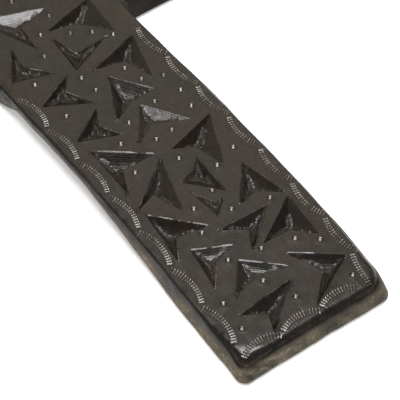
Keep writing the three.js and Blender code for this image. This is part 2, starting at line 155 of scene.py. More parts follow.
@dataclass(frozen=True)
class Slab:
    """The cross's slab: its outline, its rounded edges and its gently uneven face."""

    height: float = 300.0
    span: float = 210.0
    arm_width: float = 63.6
    thickness: float = 14.0
    crossbar_foot: float = 167.0
    edge_radius: float = 0.9
    foot_rounding: float = 2.8
    rounding_reach: float = 34.0
    back_radius_least: float = 2.0
    back_swell: float = 10.0
    swell_start: float = 35.0
    swell_growth: float = 75.0
    swell_gap: float = 1.0
    swell_end: float = 19.0
    corner_radius: float = 4.0
    foot_right_radius: float = 4.0
    foot_right_wear: float = 5.0
    foot_flare: float = 3.6
    foot_set_in: float = 0.7
    foot_spread: float = 0.5
    foot_skew: float = 0.024
    skew_reach: float = 80.0
    inner_radius: float = 3.5
    least_turn: float = 0.4
    bow: float = 1.9
    waviness: float = 0.11
    step: float = 1.5
    corner_steps: int = 8
    unevenness: float = 0.25
    burnishing: float = 0.035
    worn_reach: float = 8.8
    worn_slope: float = 0.38
    worn_turn: float = 54.0
    worn_blend: float = 1.5
    scuff: float = 0.15
    scuff_fade: float = 3.0

    def corners(self, level: float) -> list[tuple[float, float, float]]:
        """Return x, y and rounding of the twelve corners, counter-clockwise from the foot's left.

        Args:
            level: Share of the way up from the back to the face.

        Returns:
            Three numbers for each corner.
        """
        half, reach = self.arm_width / 2, self.span / 2
        low, high, top = self.crossbar_foot, self.crossbar_foot + self.arm_width, self.height
        outer, inner = self.corner_radius, self.inner_radius
        worn = self.foot_right_radius + self.foot_right_wear * level**2
        flare = self.foot_flare * (1.0 - level) - self.foot_set_in
        spread = self.foot_spread * (1.0 - level)
        return [
            (-half - spread, -spread, outer),
            (half + flare, -spread, worn),
            (half, low, inner),
            (reach, low, outer),
            (reach, high, outer),
            (half, high, inner),
            (half, top, outer),
            (-half, top, outer),
            (-half, high, inner),
            (-reach, high, outer),
            (-reach, low, outer),
            (-half, low, inner),
        ]

    def lean(self, y: np.ndarray) -> np.ndarray:
        """Return how far the hand-made lower arm leans to the right at each height."""
        lower = np.clip(y / self.crossbar_foot, 0.0, 1.0)
        return self.bow * np.sin(math.pi * lower)

    def back_radius(self, y: np.ndarray) -> np.ndarray:
        """Round the back's edge, the lower arm's long sides the most.

        Args:
            y: Heights above the foot.

        Returns:
            The edge's radius at each height.
        """
        start = fade((y - self.swell_start) / self.swell_growth)
        end = fade((self.crossbar_foot - self.swell_gap - y) / self.swell_end)
        return self.back_radius_least + self.back_swell * (start * end)

    def face_radius(self, y: np.ndarray | float) -> np.ndarray:
        """Return the rounding of the face's edge, which grows towards the foot."""
        return self.edge_radius + self.foot_rounding * fade(1.0 - np.asarray(y) / self.rounding_reach)

    def hand_made(self, points: np.ndarray) -> np.ndarray:
        """Lean, skew and gently wave a drawn outline, as the slab was shaped by hand.

        Args:
            points: Rows of x, y.

        Returns:
            The moved rows.
        """
        x, y = points[:, 0], points[:, 1]
        moved = points.copy()
        moved[:, 0] += self.lean(y) + self.waviness * hand_wave(y, x, (8.3, 3.7, 40.0), 0.6)
        skew = self.foot_skew * x * np.clip(1.0 - y / self.skew_reach, 0.0, 1.0)
        moved[:, 1] += self.waviness * hand_wave(x, y, (9.1, 4.1, 50.0), 1.4) - skew
        return moved

    def ring(
        self, inset: float, tuck: float = 0.0, level: float = 1.0, edge: float = 0.0
    ) -> np.ndarray:
        """Draw the outline moved inward.

        Args:
            inset: Distance inward from the slab's side, in millimetres.
            tuck: Further distance inward, as a share of the back edge's rounding there.
            level: Share of the way up from the back to the face.
            edge: Further distance inward, as a share of the face edge's rounding there.

        Returns:
            Rows of x, y, counter-clockwise, the same number for any inset.
        """
        corners = self.corners(level)
        count = len(corners)

        def local(y: np.ndarray | float) -> np.ndarray:
            """Return the whole distance inward at a height."""
            height = np.asarray(y, dtype=float)
            return inset + tuck * self.back_radius(height) + edge * self.face_radius(height)

        arcs = []
        for index, (x, y, radius) in enumerate(corners):
            point = np.array([x, y])
            before = np.array(corners[index - 1][:2])
            after = np.array(corners[(index + 1) % count][:2])
            coming, going = unit(point - before), unit(after - point)
            convex = coming[0] * going[1] - coming[1] * going[0] > 0
            moved = float(local(y))
            radius = max(radius, moved + self.least_turn) if convex else radius
            centre = point - coming * radius + going * radius
            reach = radius - moved if convex else radius + moved
            angles = np.linspace(0.0, math.pi / 2, self.corner_steps + 1)[:, None]
            arcs.append(centre + reach * (coming * np.sin(angles) - going * np.cos(angles)))
        points = []
        plan = self.corners(1.0)
        for index, arc in enumerate(arcs):
            following = arcs[(index + 1) % count]
            start, end = np.array(corners[index][:2]), np.array(corners[(index + 1) % count][:2])
            going = unit(end - start)
            inward = np.array([-going[1], going[0]])
            length = math.dist(plan[index][:2], plan[(index + 1) % count][:2])
            steps = max(1, round(length / self.step))
            shares = (np.arange(1, steps) / steps)[:, None]
            side = arc[-1] + (following[0] - arc[-1]) * shares
            heights = start[1] + (end[1] - start[1]) * shares[:, 0]
            ends = local(start[1]), local(end[1])
            swell = local(heights) - ends[0] - (ends[1] - ends[0]) * shares[:, 0]
            points.extend(arc)
            points.extend(side + swell[:, None] * inward)
        return self.hand_made(np.array(points))

    def edge_drop(self, xy: np.ndarray) -> np.ndarray:
        """Measure how far the rounded edge has fallen below the face.

        Args:
            xy: Rows of x, y.

        Returns:
            One depth for each point.
        """
        rim = self.ring(0.0)
        tree = kdtree.KDTree(len(rim))
        for index, point in enumerate(rim):
            tree.insert((point[0], point[1], 0.0), index)
        tree.balance()
        drop = np.zeros(len(xy))
        for index, (x, y) in enumerate(xy):
            radius = float(self.face_radius(y))
            _, nearest, distance = tree.find((x, y, 0.0))
            if distance > radius + self.step:
                continue
            inset = self._distance(np.array([x, y]), rim, nearest)
            if inset < radius:
                drop[index] = radius - math.sqrt(max(0.0, radius**2 - (radius - inset) ** 2))
        return drop

    @staticmethod
    def _distance(point: np.ndarray, rim: np.ndarray, nearest: int) -> float:
        """Measure from a point to the two stretches of rim beside its nearest corner.

        Args:
            point: The point's x and y.
            rim: Rows of x, y of the rim.
            nearest: Number of the rim's nearest corner.

        Returns:
            The lesser of the two distances.
        """
        best = math.inf
        count = len(rim)
        for start, end in ((nearest - 1, nearest), (nearest, (nearest + 1) % count)):
            a, b = rim[start], rim[end]
            along = b - a
            share = float(np.clip(np.dot(point - a, along) / np.dot(along, along), 0.0, 1.0))
            best = min(best, float(np.linalg.norm(point - a - along * share)))
        return best

    def unevenness_at(self, xy: np.ndarray) -> np.ndarray:
        """Shape the face's gentle lumps, its worn foot corner and the scuffs there.

        Args:
            xy: Rows of x, y.

        Returns:
            One height for each point.
        """
        lumps = clay_noise(xy, 34.0, 3.1) + 0.35 * clay_noise(xy, 11.0, 7.7)
        turn = math.radians(self.worn_turn)
        corner = np.array([-self.arm_width / 2, 0.0])
        near = self.worn_reach - (xy - corner) @ np.array([math.cos(turn), math.sin(turn)])
        near = np.clip(near, 0.0, None)
        worn = self.worn_slope * near**2 / (near + self.worn_blend)
        scuffs = clay_noise(xy, 1.6, 2.2) + 0.6 * clay_noise(xy, 0.8, 5.2)
        scuffed = self.scuff * (near > 0.0) * scuffs * fade(near / self.scuff_fade)
        ripples = self.burnishing * clay_noise(xy, 7.0, 4.6)
        return self.unevenness * lumps + ripples - worn + scuffed

    def face_height(self, xy: np.ndarray) -> np.ndarray:
        """Return the height of the uncarved face above the back at each point."""
        return self.thickness + self.unevenness_at(xy) - self.edge_drop(xy)


@dataclass(frozen=True)
class Facet:
    """One wall of a chip: where its edge starts, which way is out, and how far it runs in."""

    start: np.ndarray
    outward: np.ndarray
    run: float
    length: float

    def along(self) -> np.ndarray:
        """Return the direction of the facet's edge."""
        return np.array([-self.outward[1], self.outward[0]])


@dataclass(frozen=True)
class Chip:
    """One three-pointed chip: tips a and b beside its notch, tip c across from it."""

    a: tuple[float, float]
    notch: tuple[float, float]
    b: tuple[float, float]
    c: tuple[float, float]
    depth: float
    slope: float = 0.6
    lip: float = 0.3
    burr: float = 0.08
    burr_width: float = 0.3
    dish: float = 0.36
    ripple: float = 0.07
    torn_width: float = 1.3
    torn_reach: float = 0.75
    torn_blend: float = 0.5
    torn_start: float = 0.7
    crumb: float = 0.34
    crumb_lift: float = 0.14

    def rim(self) -> np.ndarray:
        """List the four corners at the face, counter-clockwise.

        Returns:
            Four rows of x, y.
        """
        corners = np.array([self.a, self.notch, self.b, self.c])
        x, y = corners[:, 0], corners[:, 1]
        area = np.sum(x * np.roll(y, -1) - y * np.roll(x, -1))
        return corners if area > 0 else corners[::-1]

    def notch_walls(self) -> tuple[int, int]:
        """Return which two facets meet at the notch."""
        at_notch = int(np.flatnonzero(np.all(self.rim() == np.array(self.notch), axis=1))[0])
        return at_notch - 1, at_notch

    def deep(self) -> np.ndarray:
        """Return the place of the deepest point, near the notch."""
        notch, tip = np.array(self.notch), np.array(self.c)
        return notch + unit(tip - notch) * self.slope * self.depth

    def facets(self) -> list[Facet]:
        """Measure the four facets.

        Returns:
            The facets, counter-clockwise from the rim's first corner.
        """
        rim, deep = self.rim(), self.deep()
        result = []
        for start, end in zip(rim, np.roll(rim, -1, axis=0)):
            along = unit(end - start)
            outward = np.array([along[1], -along[0]])
            run = float(np.dot(start - deep, outward))
            result.append(Facet(start, outward, run, float(np.linalg.norm(end - start))))
        return result

    def facet_of(self, xy: np.ndarray) -> np.ndarray:
        """Find the facet that each point lies over, by its angle round the deep point.

        Args:
            xy: Rows of x, y.

        Returns:
            One facet number for each point.
        """
        spokes = self.rim() - self.deep()
        turns = np.arctan2(spokes[:, 1], spokes[:, 0])
        relative = (turns - turns[0]) % math.tau
        offset = xy - self.deep()
        angle = (np.arctan2(offset[:, 1], offset[:, 0]) - turns[0]) % math.tau
        return np.searchsorted(relative, angle, side="right") - 1

    def inside_distance(self, xy: np.ndarray) -> tuple[np.ndarray, np.ndarray, np.ndarray]:
        """Measure points against the chip's walls.

        Args:
            xy: Rows of x, y.

        Returns:
            The facet of each point, its distance inside that facet's edge, and the facet's slope.
        """
        facet = self.facet_of(xy)
        walls = self.facets()
        outward = np.array([wall.outward for wall in walls])[facet]
        run = np.array([wall.run for wall in walls])[facet]
        inside = run - np.sum((xy - self.deep()) * outward, axis=1)
        return facet, inside, self.depth / run

    def near(self, xy: np.ndarray, margin: float) -> np.ndarray:
        """Return which points could be within a margin of the chip."""
        low, high = self.rim().min(axis=0) - margin, self.rim().max(axis=0) + margin
        return np.all((xy > low) & (xy < high), axis=1)

    def torn_at(self, xy: np.ndarray) -> np.ndarray:
        """Tear the clay along the three valleys.

        Args:
            xy: Rows of x, y.

        Returns:
            How torn the clay is at each point, from 0 to 1.
        """
        deep = self.deep()
        torn = np.zeros(len(xy))
        ragged = 0.7 * clay_noise(xy, 1.7, self.depth)
        for tip in (self.a, self.b, self.c):
            spoke = np.array(tip) - deep
            length = float(np.linalg.norm(spoke))
            share = np.clip((xy - deep) @ spoke / length**2, 0.0, 1.0)
            distance = np.linalg.norm(xy - deep - share[:, None] * spoke, axis=1)
            width = self.torn_width * (1.0 - share / self.torn_reach)
            torn = np.maximum(torn, fade((width + ragged - distance) / self.torn_blend))
        return torn

    def relief(self, xy: np.ndarray) -> tuple[np.ndarray, np.ndarray]:
        """Cut the chip, with its rounded lip, its dished walls and its torn valleys.

        Args:
            xy: Rows of x, y.

        Returns:
            How deep the chip is at each point, and how torn its clay is there.
        """
        _, inside, slope = self.inside_distance(xy)
        ragged = np.clip(0.5 + 1.2 * clay_noise(xy, 8.0, self.depth + 3.0), 0.0, 1.2)
        lip = self.lip * (0.4 + ragged)
        rounded = slope * (inside + lip) ** 2 / (4.0 * lip)
        depth = np.where(inside > lip, slope * inside, np.where(inside > -lip, rounded, 0.0))
        share = np.clip(depth / self.depth, 0.0, 1.0)
        depth = depth + 4.0 * self.dish * share * (1.0 - share)
        torn = self.torn_at(xy) * fade(inside / self.torn_start)
        crumbs = 0.6 * clay_noise(xy, 1.2, 5.0) + clay_noise(xy, 0.7, 9.0)
        lifted = torn * (self.crumb * crumbs + self.crumb_lift)
        ripples = self.ripple * clay_noise(xy, 2.6, 2.0) * fade(inside / 1.5)
        raised = self.burr * ragged * np.exp(-(((inside + 1.2 * lip) / self.burr_width) ** 2))
        return depth - lifted - ripples - raised, torn

    def outline(self, step: float) -> np.ndarray:
        """Walk round the chip's rim.

        Args:
            step: The most that two neighbours may be apart.

        Returns:
            Rows of x, y.
        """
        rim = self.rim()
        points = []
        for start, end in zip(rim, np.roll(rim, -1, axis=0)):
            count = max(2, math.ceil(float(np.linalg.norm(end - start)) / step))
            points.extend(start + (end - start) * share for share in np.arange(count) / count)
        return np.array(points)


@dataclass(frozen=True)
class ChipField:
    """A staggered grid of plain chips, each turned on from the one before."""

    x: float
    y: float
    columns: int
    rows: int
    pitch_x: float
    pitch_y: float
    turn: float
    reach: float = 11.0
    spread: float = 62.0
    notch: float = 2.6
    depth: float = 3.6
    turn_step: float = 100.0
    dot: float = 8.5
    stagger: float = 0.2

    def places(self) -> Iterable[tuple[np.ndarray, float]]:
        """Yield the middle and the turn of each chip."""
        turn = self.turn
        for row in range(self.rows):
            side = (1 if row % 2 else -1) if self.rows > 1 else 0
            for column in range(self.columns):
                x = self.x + (column - (self.columns - 1) / 2) * self.pitch_x
                y = self.y + (row - (self.rows - 1) / 2) * self.pitch_y
                yield np.array([x + side * self.stagger * self.pitch_x, y]), turn
                turn += self.turn_step

    @staticmethod
    def _polar(middle: np.ndarray, reach: float, degrees: float) -> tuple[float, float]:
        """Return the point at a distance and a turn from a middle."""
        angle = math.radians(degrees)
        return (middle[0] + reach * math.cos(angle), middle[1] + reach * math.sin(angle))

    def chips(self) -> list[Chip]:
        """Draw the field's chips.

        Returns:
            One chip for each place.
        """
        made = []
        for middle, turn in self.places():
            ways = (
                (self.reach, turn + self.spread),
                (self.notch, turn),
                (self.reach, turn - self.spread),
                (self.reach, turn + 180.0),
            )
            made.append(Chip(*(self._polar(middle, *way) for way in ways), depth=self.depth))
        return made

    def dimples(self) -> list[tuple[float, float]]:
        """Return the dimple in the mouth of each chip's notch."""
        return [self._polar(middle, self.dot, turn) for middle, turn in self.places()]


@dataclass(frozen=True)
class ScallopRow:
    """A row of ribbed scallops between evenly spaced cusps, swelling to the left of its run."""

    start: tuple[float, float]
    end: tuple[float, float]
    count: int
    tilt: float = 0.6
    rise: float = 2.8
    pitch: float = 1.13
    filled: float = 0.92

    def ribs(self, slab: Slab) -> list[tuple[np.ndarray, np.ndarray]]:
        """Place the ribs of the row.

        Args:
            slab: The slab whose lean the cusps follow.

        Returns:
            The middle and the long direction of each rib.
        """
        start, end = np.array(self.start), np.array(self.end)
        cusps = []
        for index in range(self.count + 1):
            point = start + (end - start) * index / self.count
            cusps.append(point + np.array([float(slab.lean(point[1])), 0.0]))
        ribs = []
        for before, after in zip(cusps, cusps[1:]):
            along = unit(after - before)
            inward = np.array([-along[1], along[0]])
            before, after = before - inward * self.tilt, after + inward * self.tilt
            chord = float(np.linalg.norm(after - before))
            along = unit(after - before)
            inward = np.array([-along[1], along[0]])
            radius = ((chord / 2) ** 2 + self.rise**2) / (2 * self.rise)
            sweep = math.asin(chord / 2 / radius) * self.filled
            centre = (before + after) / 2 + inward * (self.rise - radius)
            number = max(2, round(2 * sweep * radius / self.pitch))
            for index in range(number):
                angle = sweep * (2 * (index + 0.5) / number - 1)
                arm = inward * math.cos(angle) + along * math.sin(angle)
                ribs.append((centre + arm * radius, arm))
        return ribs


@dataclass(frozen=True)
class MarkSizes:
    """Sizes of the pressed marks, in millimetres, and shares of them where points carry the marks."""

    RIB_ROWS = (-1.05, -0.82, -0.6, -0.35, 0.0, 0.35, 0.6, 0.82, 1.05)
    RIB_COLUMNS = (-1.0, -0.5, 0.0, 0.5, 1.0)
    DIMPLE_RINGS = ((0.3, 6), (0.6, 10), (0.85, 12), (1.05, 12), (1.3, 12), (1.6, 12))

    rib_half_length: float = 1.2
    rib_half_width: float = 0.44
    rib_depth: float = 0.2
    dimple_radius: float = 1.15
    dimple_depth: float = 0.4
    dimple_rim: float = 0.09


def carved_chips() -> list[Chip]:
    """List the chips of the lower arm and the crossing, each with its own corners and depth.

    Returns:
        The chips, from the top.
    """
    return [
        Chip((6, 182.5), (-8.5, 179), (-9, 165), (-21, 193), 2.6),
        Chip((-1, 171), (11, 168), (21, 156), (22.5, 177), 4.0),
        Chip((-1.5, 166), (2, 153.5), (16.5, 155), (-3, 146.5), 3.5),
        Chip((-17.5, 171), (-19, 160), (-10, 150), (-26.5, 156), 3.5),
        Chip((-7.5, 146.5), (-12.5, 140), (-7, 129), (-24, 138.5), 3.5),
        Chip((3, 143), (15.5, 139.5), (19.5, 127), (25.5, 149.5), 4.0),
        Chip((-4.5, 116), (5, 121), (16, 121.5), (5.5, 137), 4.6),
        Chip((-3.5, 102.5), (6, 107), (18.5, 100.5), (7, 118), 2.2),
        Chip((-7.5, 126), (-11.5, 117.5), (-7, 109.5), (-22.5, 116), 4.0),
        Chip((-2.5, 94.5), (-17, 94.5), (-21, 85.5), (-21.5, 110), 5.6),
        Chip((-22.5, 76), (-14, 79), (-9.5, 66.5), (-2, 91), 4.2),
        Chip((4, 92.5), (12, 88), (15.5, 75.5), (26, 98.5), 4.5),
        Chip((-2, 77), (5, 79.5), (9, 83.5), (8.5, 65), 3.5),
        Chip((-2.5, 71.5), (2, 62.5), (6, 62.5), (-0.5, 57.5), 2.5),
        Chip((9, 56.5), (17, 58.5), (26, 51.5), (21.5, 72), 4.0),
        Chip((-4, 51.5), (5, 45.5), (0, 37), (16.5, 50.5), 3.5),
        Chip((5, 37.5), (16.5, 37), (24, 29), (25.5, 49.5), 4.5),
        Chip((-6, 55.5), (-19, 58), (-24, 49), (-21.5, 72.5), 5.2),
        Chip((-4, 43.5), (-13.5, 41), (-20.5, 32), (-17.5, 50.5), 2.9),
        Chip((-16, 25.5), (-5.5, 27.5), (6.5, 24.5), (-6.5, 37), 2.8),
        Chip((-20, 18), (-11.5, 12.5), (-14.5, 5.5), (4.5, 19.5), 4.0),
        Chip((9, 29.5), (15, 15.5), (3.5, 5), (26, 16.5), 4.5),
    ]


def pressed_dimples() -> list[tuple[float, float]]:
    """List the dimples of the lower arm and the crossing.

    Returns:
        The x and y of each, row by row from the top.
    """
    return [
        (-3.5, 193), (4.5, 177.5), (-4, 170.5), (-9, 160), (6, 164.5), (13.5, 160), (19.5, 154),
        (-20, 149.5), (-3.5, 142), (-2.5, 133.5), (13, 136.5), (-19, 129), (15, 128), (23, 124.5),
        (12.5, 115.5), (-1.5, 112.5), (-10, 105.5), (24, 114.5), (22.5, 105.5), (2, 99.5),
        (9.5, 100), (-13.5, 91), (3.5, 87), (23, 79.5), (13, 76), (4.5, 67.5), (-6, 64.5),
        (5, 56.5), (19.5, 52.5), (-10, 54), (-9.5, 39), (3, 36), (15.5, 32.5), (22.5, 27),
        (-5, 24.5), (-22, 25), (-23, 13), (0, 12.5), (22, 8),
    ]


def plain_fields() -> list[ChipField]:
    """Lay out the plain chips on the crossbar, the upper arm and beside the crossing.

    Returns:
        One field for each of these places.
    """
    return [
        ChipField(-69, 199, 3, 3, 21, 17.5, 20),
        ChipField(70, 199, 3, 3, 21, 17.5, 150),
        ChipField(0, 264, 3, 3, 17.5, 20, 80),
        ChipField(3, 215, 3, 1, 21, 0, 200),
        ChipField(30, 195, 1, 1, 0, 0, 30),
        ChipField(-31, 182, 1, 1, 0, 0, 250),
    ]


@dataclass
class PointField:
    """Drawn points that keep their distance from one another, earlier ones first."""

    cell: float = 0.5
    points: list[tuple[float, float]] = field(default_factory=list)
    cells: dict[tuple[int, int], list[int]] = field(default_factory=dict)

    def add(self, point: Sequence[float], spacing: float) -> int:
        """Add a point unless another is too near.

        Args:
            point: The point's x and y.
            spacing: The least distance to any point already there.

        Returns:
            The number of the new point, or of the nearest old one that keeps it out.
        """
        x, y = float(point[0]), float(point[1])
        reach = math.ceil(spacing / self.cell)
        column, row = math.floor(x / self.cell), math.floor(y / self.cell)
        nearest, best = -1, spacing
        for i in range(column - reach, column + reach + 1):
            for j in range(row - reach, row + reach + 1):
                for index in self.cells.get((i, j), ()):
                    other = self.points[index]
                    distance = math.hypot(other[0] - x, other[1] - y)
                    if distance < best:
                        nearest, best = index, distance
        if nearest >= 0:
            return nearest
        self.points.append((x, y))
        self.cells.setdefault((column, row), []).append(len(self.points) - 1)
        return len(self.points) - 1


@dataclass
class Carving:
    """All that is cut and pressed into the face."""

    slab: Slab
    sizes: MarkSizes = field(default_factory=MarkSizes)
    inset: float = 1.9
    scallop_pitch: float = 20.0

    def __post_init__(self) -> None:
        """Lay out the chips, dimples and ribs."""
        fields = plain_fields()
        self.chips = carved_chips() + [chip for made in fields for chip in made.chips()]
        self.dimples = pressed_dimples() + [dot for made in fields for dot in made.dimples()]
        self.ribs = [rib for row in self.scallop_rows() for rib in row.ribs(self.slab)]

    def scallop_rows(self) -> list[ScallopRow]:
        """Lay out the scallops inside the outline.

        Returns:
            The rows, counter-clockwise from the foot.
        """
        slab = self.slab
        side = slab.arm_width / 2 - self.inset
        reach = slab.span / 2 - self.inset
        low = slab.crossbar_foot + self.inset
        high = slab.crossbar_foot + slab.arm_width - self.inset
        top = slab.height - self.inset

        def counted(start: tuple[float, float], end: tuple[float, float]) -> ScallopRow:
            """Return a row with as many scallops as fit between its ends."""
            length = math.dist(start, end)
            return ScallopRow(start, end, round(length / self.scallop_pitch))

        return [
            ScallopRow((-side, 3.0), (21.0, 3.0), 3, tilt=-0.6),
            ScallopRow((side - 5.5, 0.6), (side - 2.5, 16.0), 1, tilt=0.0, rise=0.8),
            ScallopRow((side, 14.5), (side, 152.5), 7),
            counted((side + 6.0, low), (reach, low)),
            counted((reach, low), (reach, high)),
            counted((reach, high), (side, high)),
            counted((side, high), (side, top)),
            counted((side, top), (-side, top)),
            counted((-side, top), (-side, high)),
            counted((-side, high), (-reach, high)),
            counted((-reach, high), (-reach, low)),
            counted((-reach, low), (-side, low)),
            ScallopRow((-side, 148.0), (-side, 9.0), 7),
        ]

    def relief(self, xy: np.ndarray) -> tuple[np.ndarray, np.ndarray]:
        """Cut all the chips.

        Args:
            xy: Rows of x, y.

        Returns:
            How deep the chips are at each point, and how torn the clay is there.
        """
        depth, torn = np.zeros(len(xy)), np.zeros(len(xy))
        for chip in self.chips:
            near = np.flatnonzero(chip.near(xy, 1.0))
            if not len(near):
                continue
            found, rough = chip.relief(xy[near])
            deeper = found > np.maximum(depth[near], 0.0)
            raised = (found < depth[near]) & (depth[near] <= 0.0)
            depth[near] = np.where(deeper | raised, found, depth[near])
            torn[near] = np.maximum(torn[near], rough)
        return depth, torn

    def chip_at(self, xy: np.ndarray, margin: float = 0.0) -> tuple[np.ndarray, np.ndarray]:
        """Find the chip and the facet at each point.

        Args:
            xy: Rows of x, y.
            margin: How far outside a chip's rim a point still counts as on it.

        Returns:
            The numbers of the chip and of its facet, or -1 where there is none.
        """
        chip_number, facet_number = np.full(len(xy), -1), np.full(len(xy), -1)
        for number, chip in enumerate(self.chips):
            near = np.flatnonzero(chip.near(xy, margin + 0.1))
            if not len(near):
                continue
            facet, inside, _ = chip.inside_distance(xy[near])
            hit = near[inside > -margin]
            chip_number[hit] = number
            facet_number[hit] = facet[inside > -margin]
        return chip_number, facet_number


@dataclass
class FaceLayout:
    """The points and creases that the face is woven from.

    The border is the loop where the face gives way to the slab's side, and its number here is the
    loop's distance from the side, as a share of the edge's rounding.
    """

    EDGE_TURNS = (8.0, 22.0, 36.0)
    LIP_OFFSETS = (-0.32, -0.12, 0.16, 0.4, 0.72)
    TORN_SEED = 9
    GROUND_SEED = 5

    slab: Slab
    carving: Carving
    border: float
    border_gap: float = 0.1
    border_spacing: float = 0.05
    rim_step: float = 0.9
    torn_pitch: float = 0.34
    ground_pitch: float = 2.4
    mark_margin: float = 0.1
    lip_margin: float = 0.05
    ground_margin: float = 0.4
    crease_spacing: float = 0.2
    fine_spacing: float = 0.15
    lip_spacing: float = 0.18
    deep_spacing: float = 0.35
    spacing_growth: float = 0.06
    wall_spacing: float = 0.3
    widest_spacing: float = 0.9
    net: PointField = field(default_factory=PointField)
    creases: list[tuple[int, int]] = field(default_factory=list)
    ring_count: int = 0

    def chain(self, points: Iterable[Sequence[float]], spacing: float, closed: bool) -> None:
        """Add a run of points and the creases between them.

        Args:
            points: The x and y of each point in turn.
            spacing: The least distance to any other point.
            closed: Whether the last point is joined to the first.
        """
        numbers = []
        for point in points:
            number = self.net.add(point, spacing)
            if not numbers or number != numbers[-1]:
                numbers.append(number)
        if closed:
            numbers.append(numbers[0])
        self.creases.extend(pair for pair in zip(numbers, numbers[1:]) if pair[0] != pair[1])

    def lay_border(self) -> None:
        """Add the loop where the face gives way to the slab's side."""
        ring = self.slab.ring(0.0, edge=self.border)
        self.ring_count = len(ring)
        self.chain(ring, self.border_spacing, closed=True)

    def lay_chips(self) -> None:
        """Add each chip's rim and the creases from its corners to its deep point."""
        step = self.rim_step
        for chip in self.carving.chips:
            self.chain(chip.outline(step), self.crease_spacing, closed=True)
            deep = chip.deep()
            for corner in chip.rim():
                count = max(3, math.ceil(float(np.linalg.norm(corner - deep)) / step))
                shares = np.linspace(0.0, 1.0, count + 1)
                crease = [corner + (deep - corner) * share for share in shares]
                self.chain(crease, self.crease_spacing, closed=False)

    def lay_free(self, points: np.ndarray, spacing: float, margin: float | None) -> None:
        """Add single points inside the border.

        Args:
            points: Rows of x, y.
            spacing: The least distance to any other point.
            margin: Points nearer than this to a chip are left out; None keeps them all.
        """
        kept = points[self._inside(points)]
        if margin is not None and len(kept):
            kept = kept[self.carving.chip_at(kept, margin)[0] < 0]
        for point in kept:
            self.net.add(point, spacing)

    def _inside(self, points: np.ndarray) -> np.ndarray:
        """Find the points that lie well inside the border.

        Args:
            points: Rows of x, y.

        Returns:
            Whether each point does.
        """
        slab = self.slab
        x, y = points[:, 0] - slab.lean(points[:, 1]), points[:, 1]
        gap = self.border * slab.face_radius(y) + self.border_gap
        half, reach = slab.arm_width / 2 - gap, slab.span / 2 - gap
        low, high = slab.crossbar_foot + gap, slab.crossbar_foot + slab.arm_width - gap
        upright = (np.abs(x) < half) & (y > gap) & (y < slab.height - gap)
        across = (np.abs(x) < reach) & (y > low) & (y < high)
        return upright | across

    def lay_edge_rounding(self) -> None:
        """Add loops of points down the rounded edge."""
        for degrees in self.EDGE_TURNS:
            edge = 1.0 - math.sin(math.radians(degrees))
            ring = self.slab.ring(0.0, edge=edge)
            self.lay_free(ring, self.fine_spacing, self.mark_margin)

    def lay_marks(self) -> None:
        """Add the points that carry the pressed ribs and dimples."""
        sizes = self.carving.sizes
        for middle, arm in self.carving.ribs:
            side = np.array([-arm[1], arm[0]])
            rows = np.array(sizes.RIB_ROWS) * sizes.rib_half_length
            columns = np.array(sizes.RIB_COLUMNS) * sizes.rib_half_width
            grid = [middle + arm * row + side * column for column in columns for row in rows]
            self.lay_free(np.array(grid), self.fine_spacing, self.mark_margin)
        for dot in self.carving.dimples:
            middle = np.array(dot)
            rings = [middle[None, :]]
            for share, count in sizes.DIMPLE_RINGS:
                turns = math.tau * (np.arange(count) + 0.5 * (count % 4)) / count
                rings.append(middle + circle(turns) * share * sizes.dimple_radius)
            self.lay_free(np.concatenate(rings), self.fine_spacing, self.mark_margin)

    def lay_lips(self) -> None:
        """Add points on both sides of each chip's rim, where its lip is rounded."""
        step = self.rim_step
        for chip in self.carving.chips:
            for facet in chip.facets():
                places = np.arange(0.5 * step, facet.length, step)[:, None]
                for offset in self.LIP_OFFSETS:
                    if offset < 0 and -offset > 0.4 * facet.run:
                        continue
                    line = facet.start + places * facet.along() + facet.outward * offset
                    if offset > 0:
                        self.lay_free(line, self.lip_spacing, self.lip_margin)
                    else:
                        inside = chip.inside_distance(line)[1] > 0.1
                        self.lay_free(line[inside], self.fine_spacing, margin=None)

    def lay_chip_walls(self) -> None:
        """Add points over the walls of each chip, closer together near its deep point."""
        for chip in self.carving.chips:
            deep = chip.deep()
            for point in chip.outline(self.rim_step):
                length = float(np.linalg.norm(point - deep))
                distance = self.deep_spacing
                while distance < length - 0.5:
                    growth = self.spacing_growth * distance
                    spacing = min(self.wall_spacing + growth, self.widest_spacing)
                    self.net.add(deep + (point - deep) * distance / length, spacing)
                    distance += self.deep_spacing + growth

    def lay_torn(self) -> None:
        """Add a fine grid of points over the torn clay of each chip."""
        pitch = self.torn_pitch
        rng = np.random.default_rng(self.TORN_SEED)
        for chip in self.carving.chips:
            low, high = chip.rim().min(axis=0), chip.rim().max(axis=0)
            xs, ys = np.meshgrid(np.arange(low[0], high[0], pitch), np.arange(low[1], high[1], pitch))
            grid = np.stack([xs.ravel(), ys.ravel()], axis=1)
            grid += rng.uniform(-0.25, 0.25, grid.shape) * pitch
            grid = grid[chip.inside_distance(grid)[1] > 0.3]
            self.lay_free(grid[chip.torn_at(grid) > 0.25], 0.7 * pitch, margin=None)

    def lay_ground(self) -> None:
        """Add the points of the plain face between the carving."""
        slab, pitch = self.slab, self.ground_pitch
        rng = np.random.default_rng(self.GROUND_SEED)
        points = []
        for row, y in enumerate(np.arange(0.0, slab.height, pitch * 0.87)):
            shift = 0.5 * pitch * (row % 2)
            xs = np.arange(-slab.span / 2 - pitch, slab.span / 2 + pitch, pitch) + shift
            points.append(np.stack([xs, np.full(len(xs), y)], axis=1))
        grid = np.concatenate(points)
        grid += rng.uniform(-0.15, 0.15, grid.shape) * pitch
        self.lay_free(grid, 0.55 * pitch, self.ground_margin)

